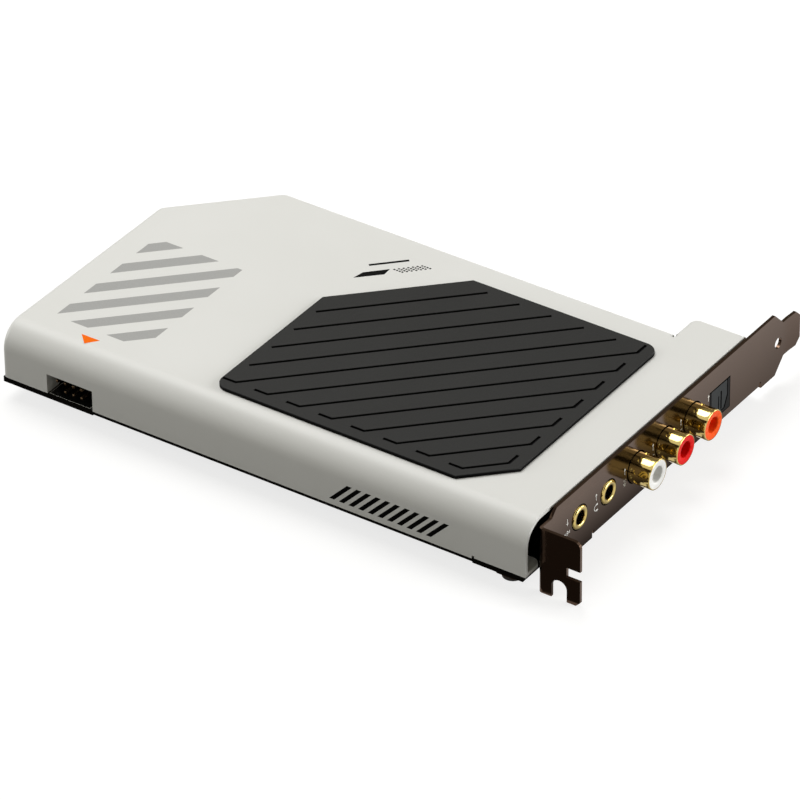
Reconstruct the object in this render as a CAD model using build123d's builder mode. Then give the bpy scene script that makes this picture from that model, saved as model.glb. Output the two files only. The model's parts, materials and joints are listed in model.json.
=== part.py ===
from build123d import *
import os
from math import cos, radians, sin, sqrt

os.makedirs("parts", exist_ok=True)

# Slot bracket, folded from one sheet
sheet = 0.86
bracket_length = 120.02
strip_width = 18.42
tab_depth = 11.43
tab_top = 16.3
tab_drop = 2.57
tab_corner = 2.0
tab_bevel = 1.2
notch_width = 4.42
notch_centre = 5.36
notch_top = 3.0
tab_slot_low = 4.8
tab_slot_height = 2.9
tab_slot_depth = 3.9
shoulder_start = 5.0
tongue_width = 10.19
tongue_taper = 4.0
tongue_lower_start = 0.5
tongue_reach = 11.9
tip_length = 5.4
tip_angle = 4.0
tip_overlap = 0.3
tip_bevel = 1.8
tongue_hole_radius = 1.6
tongue_hole_back = 10.1
fold_inside = 0.4
flange_rise = 1.14
strip_lift = 0.7
strip_edge = 0.4
flange_start = 23.1
flange_depth = 4.5
foot_depth = 11.3
foot_corner = 1.2
foot_taper = 3.0
near_foot_overhang = 3.5
far_foot_before = 3.5
far_foot_after = 8.5
relief_width = 0.9
foot_screw_inset = 7.9

# Cover, folded from one sheet
cover_reach = 160.5
near_overhang = 4.3
cover_width = 91.8
cover_top = 18.5
cover_wall = 1.0
cover_gap = 1.55
fold_radius = 7.0
edge_radius = 1.4
corner_radius = 2.6
corner_cut = 23.5
step_length = 17.0
step_out = 9.1
lip_drop = 0.3
lip_wall = 0.4
seat_depth = 7.2
seat_length = 15.0
seat_corner = 2.5
seat_screw_inset = 4.15
left_seat_depth = 8.6
left_screw_inset = 7.0
left_screw_depth = 5.6
corner_screw_inset = 31.5
slit_width = 0.7
step_slit_width = 1.1
step_slit_length = 2.2
step_slit_aside = 0.4
step_slit_over = 0.35
notch_rise = 0.6

# Grooved pad on the cover
pad_near = 7.71
pad_width = 75.2
pad_end = 15.68
pad_length = 84.1
pad_height = 1.0
pad_large_cut = 27.7
pad_small_cut = 11.5
pad_round = 3.8
pad_edge = 0.3
groove_count = 12
groove_pitch = 9.71
groove_width = 0.9
groove_depth = 0.5
groove_first = 9.34
groove_margin_left = 2.65
groove_margin_far = 3.0
groove_margin_near = 3.6
groove_margin_right = 3.6
groove_hook = 4.0

# Circuit board and card edge
board_thickness = 1.57
board_gap = 2.4
board_inset = 0.1
card_height = 109.7
finger_height = 8.25
edge_start = 45.5
edge_first = 11.65
edge_key = 1.9
edge_second = 7.65
key_depth = 7.5
edge_bevel = 0.5
shoulder_reach = 75.0
contact_pitch = 1.0
contact_width = 0.7
contact_length = 5.6
contact_height = 0.06
contact_inset = 0.6
contacts_first = 11
contacts_second = 7

# Sockets along the bracket
socket_count = 6
socket_pitch = 12.93
first_socket = 17.3
socket_rise = 9.6
housing_gap = 1.6
housing_edge = 0.8
fit_gap = 0.05
hole_gap = 0.15
tail_below = 1.2
tail_width = 0.9
tail_thickness = 0.5
tail_hole = 0.75

# Small sockets for 3.5 mm plugs
plug_radius = 1.8
ferrule_radius = 3.25
ferrule_step = 0.6
ferrule_proud = 0.5
ferrule_depth = 4.0
ferrule_bevel = 0.35
jack_depth = 13.6
jack_height = 11.2
jack_back_wall = 1.2
jack_bore_gap = 0.2
jack_tail = 12.1
jack_tail_side = 1.6
leaf = 0.3
leaf_gap = 0.3
leaf_width = 1.6
leaf_long = 7.6
leaf_short = 4.6

# Phono sockets
shell_radius = 4.15
shell_wall = 0.45
shell_reach = 6.2
shell_depth = 7.0
shell_tail = 5.4
shell_edge = 0.15
shell_lip = 0.25
phono_depth = 12.0
phono_height = 11.6
insulator_mouth = 2.1
insulator_rim = 0.6
insulator_bevel = 0.3
contact_bore = 1.65
contact_wall = 0.3
contact_stem = 1.0
dimple_count = 8
dimple_width = 1.7
dimple_start = 1.5
dimple_depth = 0.22
lip_length = 0.5

# Optical socket
optical_window_width = 9.8
optical_window_low = 2.95
optical_window_height = 9.4
optical_depth = 13.4
optical_height = 11.2
mouth_width = 7.8
mouth_low = 3.85
mouth_taper = 1.5
mouth_taper_rise = 3.1
cavity_depth = 11.0
optical_edge = 0.6
emitter_size = 5.2
emitter_rise = 3.9
emitter_set_back = 0.2
lens_radius = 1.1
lens_reach = 1.6
lens_edge = 0.5
nose_set_back = 0.05
nose_gap = 0.15
nose_top_gap = 0.4
shutter_thickness = 0.8
shutter_set_back = 0.1
shutter_gap = 0.25
shutter_root = 1.2
shutter_groove_low = 4.4
shutter_grooves = [(-0.3, 0.4, 4.4), (0.9, 0.6, 5.4)]
hinge_rise = 12.55
hinge_radius = 0.85
hinge_gap = 0.15
hinge_pin_radius = 0.45
pin_fit = 0.02
pin_set_back = 0.2
spring_gap = 3.0
spring_room = 0.25
spring_end_gap = 0.2
spring_turns = 4
spring_turn_gap = 0.15
spring_core = 0.15

# Angled header in the near wall
header_columns = 4
header_rows = 2
header_pitch = 2.54
header_pin = 0.64
header_row_rise = 1.85
header_back = 14.1
header_margin = 2.05
header_shift = 0.5
header_opening_top = 9.35
header_tip_inset = 0.4
header_base_depth = 2.5
header_base_set_back = 7.6
header_base_edge = 0.4
header_tail_first = 5.2
header_pin_bevel = 0.15
cheek_depth = 5.0

# Pan-head screws
screw_radius = 1.25
screw_hole = 1.6
screw_head_radius = 2.75
screw_head_height = 1.5
screw_head_edge = 0.6
screw_end = 0.6

# Components under the cover
chip_lift = 0.1
chip_edge = 0.15
lead_reach = 1.0
lead_width = 0.4
lead_height = 0.5
can_bevel = 0.5
box_bevel = 0.3
passive_length = 1.6
passive_width = 0.8
passive_height = 0.6
passive_step = 2.4
passive_row = 2.0
# Places below are measured from the bracket: back from its face, then across from its tab
# Chips: place, size of the body, leads on a side, leads on all four sides
chips = {
    "audio_processor": ((86, 54), (14, 14, 1.4), 8, True),
    "bus_bridge_chip": ((60, 78), (9, 9, 1.2), 6, True),
    "flash_memory": ((100, 66), (5.3, 5.3, 1.8), 4, False),
    "playback_converter": ((52, 46), (9.8, 6, 1.2), 7, False),
    "record_converter": ((50, 20), (9.8, 6, 1.2), 7, False),
    "headphone_amplifier": ((36, 30), (6.5, 4.4, 1.1), 5, False),
    "line_amplifier_1": ((33, 42), (4.9, 3.9, 1.6), 4, False),
    "line_amplifier_2": ((33, 52), (4.9, 3.9, 1.6), 4, False),
    "voltage_regulator": ((74, 20), (6.5, 3.5, 1.6), 3, False),
}
# Boxed components: place, size
relay_size = (10, 7.4, 9.0)
clock_size = (5, 3.2, 1.2)
boxes = {
    "audio_clock": ((100, 38), clock_size),
    "bus_clock": ((82, 70), clock_size),
    "output_relay_1": ((24, 22), relay_size),
    "output_relay_2": ((24, 33), relay_size),
    "power_inductor": ((88, 28), (7, 7, 4.2)),
}
# Electrolytic capacitors: place, radius and height of the can
filter_can = (4.0, 11.5)
supply_can = (3.15, 7.7)
cans = {
    "filter_capacitor_1": ((40, 66), filter_can),
    "filter_capacitor_2": ((50, 66), filter_can),
    "filter_capacitor_3": ((60, 66), filter_can),
    "filter_capacitor_4": ((70, 66), filter_can),
    "supply_capacitor_1": ((64, 56), supply_can),
    "supply_capacitor_2": ((74, 56), supply_can),
}
# Fields of passives: place, columns, rows
passive_fields = [
    (32, 66, 2, 4),
    (62, 34, 4, 3),
    (74, 80, 4, 2),
    (98, 47, 2, 4),
    (28, 78, 3, 2),
]

# Datums: the origin lies under the middle of the whole card
x_face = (cover_reach - tab_depth) / 2
y_tab = (near_overhang - bracket_length) / 2
z_strip = tab_drop

board_bottom = z_strip + flange_rise + sheet
board_top = board_bottom + board_thickness
tail_end = board_bottom - tail_below
behind = x_face - sheet - fit_gap
socket_z = z_strip + socket_rise
socket_y = [y_tab + first_socket + socket_pitch * i for i in range(socket_count)]
housing_width = socket_pitch - housing_gap

x_left = x_face - cover_reach
x_open = x_face - cover_gap
x_step = x_face - step_length
y_near = y_tab - near_overhang
y_far = y_near + cover_width
y_step = y_far + step_out
z_cover = z_strip + cover_top

board_left = x_left + board_inset
board_right = x_face - board_gap
board_near = y_near + board_inset
board_far = y_far - board_inset
finger_tip = board_near + card_height
board_shoulder = finger_tip - finger_height

header_width = header_columns * header_pitch + 2 * header_margin
header_left = x_left + header_back
header_right = header_left + header_width

seat_start = x_open - seat_length
foot_screw_x = x_face - foot_screw_inset
near_screw_y = y_near + seat_screw_inset
far_screw_y = y_step - seat_screw_inset
left_screw_x = x_left + left_screw_inset
left_screw_y = y_near + left_screw_depth
corner_screw_x = x_left + corner_screw_inset
corner_screw_y = y_far - seat_screw_inset
bracket_screws = [(foot_screw_x, near_screw_y), (foot_screw_x, far_screw_y)]
cover_screws = [(left_screw_x, left_screw_y), (corner_screw_x, corner_screw_y)]

flange_near = y_tab + flange_start
flange_far = far_screw_y + far_foot_after + relief_width
flange_low = z_strip + flange_rise

# Drawing planes: the bracket's outer face, seen from outside, and the tab's outer face
face_plane = Plane(origin=(x_face, 0, 0), x_dir=(0, 1, 0), z_dir=(1, 0, 0))
tab_plane = Plane(origin=(0, y_tab, 0), x_dir=(1, 0, 0), z_dir=(0, -1, 0))


def keep(builder, name):
    """Label a finished piece and write it to its own file."""
    builder.part.label = name
    export_step(builder.part, f"parts/{name}.step")


def socket_plane(index, x):
    """Plane across a socket's axis at a place along the card, facing outwards."""
    return Plane(origin=(x, socket_y[index], socket_z), x_dir=(0, 1, 0), z_dir=(1, 0, 0))


def build_bracket():
    """Strip, tab and bent tongue with the flange that carries the board."""
    tongue_low = z_strip + (strip_width - tongue_width) / 2
    tongue_high = tongue_low + tongue_width
    strip_high = z_strip + strip_width
    strip_low = z_strip + strip_lift
    tip_y = y_tab + bracket_length - tip_length
    tongue_y = y_tab + bracket_length - tongue_reach
    angle = radians(tip_angle)
    tip_reach = (tip_length - sheet * sin(angle)) / cos(angle)
    tip_plane = Plane(
        origin=(x_face, tip_y, 0),
        x_dir=(sin(angle), cos(angle), 0),
        z_dir=(cos(angle), -sin(angle), 0),
    )
    window_y = socket_y[-1]
    window_z = z_strip + optical_window_low + optical_window_height / 2

    with BuildPart() as bracket:
        # Strip in elevation, with its lower edge raised where the flange folds away
        with BuildSketch(face_plane):
            with BuildLine():
                Polyline(
                    (y_tab, z_strip),
                    (y_tab, z_strip + tab_top),
                    (y_tab + shoulder_start, z_strip + tab_top),
                    (y_tab + shoulder_start + strip_width - tab_top, strip_high),
                    (tongue_y, strip_high),
                    (tongue_y + strip_high - tongue_high, tongue_high),
                    (tip_y, tongue_high),
                    (tip_y, tongue_low),
                    (tongue_y + tongue_lower_start + tongue_taper, tongue_low),
                    (tongue_y + tongue_lower_start, z_strip),
                    (flange_far, z_strip),
                    (flange_far, strip_low),
                    (flange_near, strip_low),
                    (flange_near, z_strip),
                    close=True,
                )
            make_face()
            with Locations((y_tab + bracket_length - tongue_hole_back, z_strip + strip_width / 2)):
                Circle(tongue_hole_radius, mode=Mode.SUBTRACT)
            for y in socket_y[:2]:
                with Locations((y, socket_z)):
                    Circle(ferrule_radius + hole_gap, mode=Mode.SUBTRACT)
            for y in socket_y[2:5]:
                with Locations((y, socket_z)):
                    Circle(shell_radius + hole_gap, mode=Mode.SUBTRACT)
            with Locations((window_y, window_z)):
                Rectangle(optical_window_width, optical_window_height, mode=Mode.SUBTRACT)
        extrude(amount=-sheet)

        # Tip of the tongue, bent a little outwards
        with BuildSketch(tip_plane):
            with Locations((-tip_overlap, (tongue_low + tongue_high) / 2)):
                Rectangle(
                    tip_reach + tip_overlap,
                    tongue_width,
                    align=(Align.MIN, Align.CENTER),
                )
            chamfer(vertices().group_by(Axis.X)[-1], length=tip_bevel)
        extrude(amount=-sheet)

        # Flange under the board, with a foot at each end
        foot_x = x_face - foot_depth
        flange_x = x_face - flange_depth
        near_foot_y = y_tab - near_foot_overhang
        far_foot_y = far_screw_y - far_foot_before
        with BuildSketch(Plane.XY.offset(flange_low)):
            with BuildLine():
                Polyline(
                    (x_face, flange_near + relief_width),
                    (x_face, flange_far - relief_width),
                    (foot_x, flange_far - relief_width),
                    (foot_x, far_foot_y),
                    (flange_x, far_foot_y - foot_taper),
                    (flange_x, flange_near + foot_depth),
                    (foot_x, flange_near + foot_taper),
                    (foot_x, near_foot_y),
                    (flange_x, near_foot_y),
                    (flange_x, flange_near - foot_taper),
                    (x_face - sheet, flange_near + relief_width),
                    close=True,
                )
            make_face()
            foot_corners = vertices().group_by(Axis.X)[0]
            near_corner = vertices().sort_by_distance((flange_x, near_foot_y, 0))[0]
            fillet(foot_corners + [near_corner], radius=foot_corner)
            with Locations(*bracket_screws):
                Circle(screw_hole, mode=Mode.SUBTRACT)
        extrude(amount=sheet)

        # Tab with its screw notch, side slot and eased corners
        with BuildSketch(tab_plane):
            with Locations((x_face - sheet, z_strip - tab_drop)):
                Rectangle(tab_depth + sheet, tab_top + tab_drop, align=(Align.MIN, Align.MIN))
            outer = vertices().group_by(Axis.X)[-1].sort_by(Axis.Y)
            fillet(outer[-1], radius=tab_corner)
            lower = vertices().group_by(Axis.Y)[0].sort_by(Axis.X)[-1]
            chamfer(lower, length=tab_bevel)
            with Locations((x_face + notch_centre, z_strip + notch_top - notch_width / 2)):
                Circle(notch_width / 2, mode=Mode.SUBTRACT)
            with Locations((x_face + notch_centre, z_strip + notch_top - notch_width / 2)):
                Rectangle(
                    notch_width,
                    notch_top + tab_drop,
                    align=(Align.CENTER, Align.MAX),
                    mode=Mode.SUBTRACT,
                )
            with Locations((x_face + tab_depth, z_strip + tab_slot_low)):
                Rectangle(
                    tab_slot_depth,
                    tab_slot_height,
                    align=(Align.MAX, Align.MIN),
                    mode=Mode.SUBTRACT,
                )
        extrude(amount=-sheet)

        # Relief cuts at the ends of the flange's fold
        with BuildSketch(face_plane):
            with Locations((flange_near, z_strip)):
                Rectangle(relief_width, flange_rise + sheet, align=(Align.MIN, Align.MIN))
            with Locations((flange_far, z_strip)):
                Rectangle(relief_width, flange_rise + sheet, align=(Align.MAX, Align.MIN))
        extrude(amount=-sheet, mode=Mode.SUBTRACT)

        # Rounded folds: outside and inside of the tab, outside of the flange
        upright = bracket.edges().filter_by(Axis.Z)
        outside = upright.sort_by_distance((x_face - sheet, y_tab, z_strip + tab_top / 2))[0]
        fillet(outside, radius=sheet + fold_inside)
        upright = bracket.edges().filter_by(Axis.Z)
        inside = upright.sort_by_distance((x_face, y_tab + sheet, z_strip + tab_top / 2))[0]
        fillet(inside, radius=fold_inside)
        along = bracket.edges().filter_by(Axis.Y)
        under = along.sort_by_distance((x_face, (flange_near + flange_far) / 2, strip_low))[0]
        fillet(under, radius=strip_edge)
    keep(bracket, "bracket")


def cover_form(inset, floor, open_end):
    """Solid form of the cover, drawn in by an inset on its walls and top."""
    cut = corner_cut - inset * (2 - sqrt(2))
    left = x_left + inset
    near = y_near + inset
    far = y_far - inset
    top = z_cover - inset
    with BuildPart() as form:
        with BuildSketch(Plane.XY.offset(floor)):
            with BuildLine():
                Polyline(
                    (open_end, near),
                    (open_end, y_step - inset),
                    (x_step + inset, y_step - inset),
                    (x_step + inset, far),
                    (left + cut, far),
                    (left, far - cut),
                    (left, near),
                    close=True,
                )
            make_face()
            rounded = [
                (x_step + inset, y_step - inset),
                (left + cut, far),
                (left, far - cut),
            ]
            for x, y in rounded:
                corner = vertices().sort_by_distance((x, y, 0))[0]
                fillet(corner, radius=corner_radius - inset)
        extrude(amount=top - floor)

        # Large fold along the near edge
        ridge = form.edges().filter_by(Axis.X).sort_by_distance((0, near, top))[0]
        fillet(ridge, radius=fold_radius - inset)

        # Small radius round the rest of the top and down the closed end's near corner
        rim = form.faces().sort_by(Axis.Z)[-1].edges()
        rim = rim.filter_by(lambda e: e.center().X < open_end - 0.01)
        rim = rim.filter_by(lambda e: e.center().Y > near + fold_radius - inset + 0.01)
        end_corner = form.edges().sort_by_distance((left, near, floor + 1))[0]
        end_arc = form.edges().filter_by(GeomType.CIRCLE).sort_by_distance((left, near, top))[0]
        fillet(rim + [end_corner, end_arc], radius=edge_radius - inset)
    return form.part


def build_cover():
    """Folded cover: top, walls, lip over the board's edge, screw seats and header opening."""
    outer = cover_form(0, board_top, x_open)
    inner = cover_form(cover_wall, board_top - cover_wall, x_open + cover_wall)
    outline = cover_form(0, board_top - lip_drop, x_open)
    opening_top = z_strip + header_opening_top

    with BuildPart() as cover:
        add(outer)
        add(inner, mode=Mode.SUBTRACT)

        # Lip that hangs over the board's near edge between the header and the bracket seat
        with BuildSketch(Plane.XY.offset(board_top - lip_drop)):
            with Locations((header_right, y_near)):
                Rectangle(
                    seat_start - slit_width - header_right,
                    lip_wall,
                    align=(Align.MIN, Align.MIN),
                )
        extrude(amount=lip_drop + cover_wall)

        # Seats folded in from the walls, resting on the board
        with BuildSketch(Plane.XY.offset(board_top)):
            with Locations((seat_start, y_near)):
                Rectangle(seat_length, seat_depth, align=(Align.MIN, Align.MIN))
            with Locations((x_left, y_near)):
                Rectangle(header_back - cover_wall, left_seat_depth, align=(Align.MIN, Align.MIN))
            with Locations((corner_screw_x, y_far)):
                Rectangle(seat_length, seat_depth, align=(Align.CENTER, Align.MAX))
            with Locations((x_open, y_step)):
                Rectangle(step_length - cover_gap, seat_depth, align=(Align.MAX, Align.MAX))
            free = [
                (seat_start, y_near + seat_depth),
                (x_open, y_near + seat_depth),
                (corner_screw_x - seat_length / 2, y_far - seat_depth),
                (corner_screw_x + seat_length / 2, y_far - seat_depth),
                (x_open, y_step - seat_depth),
                (x_left + header_back - cover_wall, y_near + left_seat_depth),
            ]
            for x, y in free:
                corner = vertices().sort_by_distance((x, y, 0))[0]
                fillet(corner, radius=seat_corner)
            with Locations(*bracket_screws, *cover_screws):
                Circle(screw_radius + fit_gap, mode=Mode.SUBTRACT)
        extrude(amount=cover_wall)

        # Keep the outer corners of the seats inside the walls' outline
        add(outline, mode=Mode.INTERSECT)

        # Header opening with a cheek folded in on each side
        with BuildSketch(Plane.XY.offset(board_top - lip_drop)):
            with Locations((header_left, y_near)):
                Rectangle(header_width, 2 * cover_wall, align=(Align.MIN, Align.MIN))
        extrude(amount=opening_top - board_top + lip_drop, mode=Mode.SUBTRACT)
        with BuildSketch(Plane.XY.offset(board_top)):
            with Locations((header_left, y_near)):
                Rectangle(cover_wall, cheek_depth, align=(Align.MAX, Align.MIN))
            with Locations((header_right, y_near)):
                Rectangle(cover_wall, cheek_depth, align=(Align.MIN, Align.MIN))
        extrude(amount=opening_top - board_top)

        # Relief notch beside the bracket seat, and relief slit at the step's inner corner
        with BuildSketch(Plane.XY.offset(board_top - lip_drop)):
            with Locations((seat_start, y_near)):
                Rectangle(slit_width, cover_wall, align=(Align.MAX, Align.MIN))
        extrude(amount=lip_drop + notch_rise, mode=Mode.SUBTRACT)
        with BuildSketch(Plane.XY.offset(z_cover - 2 * cover_wall)):
            with Locations((x_step + step_slit_aside, y_far + step_slit_over)):
                Rectangle(step_slit_width, step_slit_length, align=(Align.CENTER, Align.MAX))
        extrude(amount=2 * cover_wall, mode=Mode.SUBTRACT)
    keep(cover, "cover")


def build_pad():
    """Raised pad with two cut corners and a field of slanted, hooked grooves."""
    right = x_face - pad_end
    left = right - pad_length
    near = y_near + pad_near
    far = near + pad_width
    reach_left = left + groove_margin_left
    reach_far = far - groove_margin_far
    reach_near = near + groove_margin_near
    reach_right = right - groove_margin_right
    first = far - pad_large_cut - left - groove_first

    with BuildPart() as pad:
        with BuildSketch(Plane.XY.offset(z_cover)):
            with BuildLine():
                Polyline(
                    (left, near),
                    (left, far - pad_large_cut),
                    (left + pad_large_cut, far),
                    (right, far),
                    (right, near + pad_small_cut),
                    (right - pad_small_cut, near),
                    close=True,
                )
            make_face()
            for x, y in [(left, near), (right, far)]:
                corner = vertices().sort_by_distance((x, y, 0))[0]
                fillet(corner, radius=pad_round)
        extrude(amount=pad_height)
        fillet(pad.faces().sort_by(Axis.Z)[-1].edges(), radius=pad_edge)

        # Each groove climbs at 45 degrees from the left or near margin to the far or right one
        with BuildSketch(Plane.XY.offset(z_cover + pad_height)):
            for i in range(groove_count):
                rise = first - groove_pitch * i
                start = (reach_left, reach_left + rise)
                end = (reach_far - rise, reach_far)
                points = [start, end]
                if start[1] < reach_near:
                    points[0] = (reach_near - rise, reach_near)
                    points.insert(0, (points[0][0] - groove_hook, reach_near))
                if end[0] > reach_right:
                    points[-1] = (reach_right, reach_right + rise)
                    points.append((reach_right, points[-1][1] + groove_hook))
                with BuildLine(mode=Mode.PRIVATE) as path:
                    Polyline(*points)
                trace(path.line, line_width=groove_width)
        extrude(amount=-groove_depth, mode=Mode.SUBTRACT)
    keep(pad, "top_pad")


def build_board():
    """Circuit board with its card edge and every hole that something passes through."""
    edge_end = edge_start + edge_first + edge_key + edge_second
    lip_back = lip_wall + board_inset
    with BuildPart() as board:
        with BuildSketch(Plane.XY.offset(board_bottom)):
            with BuildLine():
                Polyline(
                    (board_left, board_near),
                    (header_right - board_inset, board_near),
                    (header_right - board_inset, y_near + lip_back),
                    (seat_start - slit_width + board_inset, y_near + lip_back),
                    (seat_start - slit_width + board_inset, board_near),
                    (board_right, board_near),
                    (board_right, board_shoulder),
                    (x_face - edge_start, board_shoulder),
                    (x_face - edge_start, finger_tip),
                    (x_face - edge_start - edge_first, finger_tip),
                    (x_face - edge_start - edge_first, finger_tip - key_depth),
                    (x_face - edge_start - edge_first - edge_key, finger_tip - key_depth),
                    (x_face - edge_start - edge_first - edge_key, finger_tip),
                    (x_face - edge_end, finger_tip),
                    (x_face - edge_end, board_shoulder),
                    (x_face - shoulder_reach, board_shoulder),
                    (x_face - shoulder_reach - board_shoulder + board_far, board_far),
                    (board_left + corner_cut, board_far),
                    (board_left, board_far - corner_cut),
                    close=True,
                )
            make_face()
            with Locations(*bracket_screws, *cover_screws):
                Circle(screw_hole, mode=Mode.SUBTRACT)
            with Locations(*tail_places()):
                Circle(tail_hole, mode=Mode.SUBTRACT)
        extrude(amount=board_thickness)
        tips = board.edges().filter_by(Axis.X).group_by(Axis.Y)[-1]
        chamfer(tips, length=edge_bevel)
    keep(board, "circuit_board")


def build_edge_contacts():
    """Gold contacts on both faces of the card edge."""
    first = x_face - edge_start - contact_inset
    second = x_face - edge_start - edge_first - edge_key - contact_inset
    columns = [first - contact_pitch * i for i in range(contacts_first)]
    columns += [second - contact_pitch * i for i in range(contacts_second)]
    with BuildPart() as contacts:
        for z in (board_top, board_bottom - contact_height):
            with BuildSketch(Plane.XY.offset(z)):
                with Locations(*[(x, finger_tip - edge_bevel) for x in columns]):
                    Rectangle(contact_width, contact_length, align=(Align.CENTER, Align.MAX))
            extrude(amount=contact_height)
    keep(contacts, "edge_contacts")


def header_places():
    """Each header pin as its column's place, its row's height and where its tail goes down."""
    places = []
    base_near = y_near + header_base_set_back
    for column in range(header_columns):
        x = header_left + header_margin - header_shift + header_pitch * (column + 0.5)
        for row in range(header_rows):
            if column == 0 and row == 0:
                continue
            z = board_top + header_row_rise + header_pitch * row
            places.append((x, z, base_near + header_tail_first + header_pitch * row))
    return places


def tail_places():
    """Centres of the board's holes for socket tails and header pins."""
    places = []
    for y in socket_y[:2]:
        places.append((behind - jack_tail, y - jack_tail_side))
        places.append((behind - jack_tail, y + jack_tail_side))
    for y in socket_y[2:5]:
        places.append((behind - shell_tail, y))
        places.append((behind - phono_depth - tail_thickness / 2, y))
    for x, z, y in header_places():
        places.append((x, y))
    return places


def build_jack(index, name):
    """Socket for a 3.5 mm plug: moulded housing, gold ferrule and two spring contacts."""
    y = socket_y[index]
    mouth = x_face + ferrule_proud
    leaf_top = socket_z - plug_radius - leaf_gap
    nose_radius = ferrule_radius - ferrule_step
    tail_x = behind - jack_tail

    with BuildPart() as housing:
        with BuildSketch(Plane.XY.offset(board_top)):
            with Locations((behind, y)):
                Rectangle(jack_depth, housing_width, align=(Align.MAX, Align.CENTER))
        extrude(amount=jack_height)
        fillet(housing.edges().filter_by(Axis.X).group_by(Axis.Z)[-1], radius=housing_edge)
        with BuildSketch(socket_plane(index, x_face - ferrule_depth)):
            Circle(nose_radius + fit_gap)
        extrude(amount=ferrule_depth, mode=Mode.SUBTRACT)
        with BuildSketch(socket_plane(index, behind)):
            Circle(plug_radius + jack_bore_gap)
        extrude(amount=jack_back_wall - jack_depth, mode=Mode.SUBTRACT)
        # Room underneath for the spring leaves
        with BuildSketch(Plane.XY.offset(board_top)):
            with Locations((tail_x - tail_thickness, y)):
                Rectangle(
                    leaf_long + 2 * tail_thickness,
                    2 * jack_tail_side + leaf_width + tail_thickness,
                    align=(Align.MIN, Align.CENTER),
                )
        extrude(amount=leaf_top + leaf_gap - board_top, mode=Mode.SUBTRACT)
    keep(housing, f"{name}_housing")

    with BuildPart() as ferrule:
        with BuildSketch(socket_plane(index, x_face - sheet)):
            Circle(ferrule_radius)
        extrude(amount=sheet + ferrule_proud)
        with BuildSketch(socket_plane(index, x_face - ferrule_depth)):
            Circle(nose_radius)
        extrude(amount=ferrule_depth)
        with BuildSketch(socket_plane(index, x_face - ferrule_depth)):
            Circle(plug_radius)
        extrude(amount=ferrule_depth + ferrule_proud, mode=Mode.SUBTRACT)
        rims = ferrule.edges().filter_by(GeomType.CIRCLE).group_by(Axis.X)[-1]
        chamfer(rims, length=ferrule_bevel)
    keep(ferrule, f"{name}_ferrule")

    with BuildPart() as contacts:
        for side, length in [(-jack_tail_side, leaf_long), (jack_tail_side, leaf_short)]:
            with BuildSketch(Plane.XY.offset(leaf_top - leaf)):
                with Locations((tail_x - tail_thickness / 2, y + side)):
                    Rectangle(length, leaf_width, align=(Align.MIN, Align.CENTER))
            extrude(amount=leaf)
            with BuildSketch(Plane.XY.offset(tail_end)):
                with Locations((tail_x, y + side)):
                    Rectangle(tail_thickness, tail_width)
            extrude(amount=leaf_top - tail_end)
    keep(contacts, f"{name}_contacts")


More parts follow.
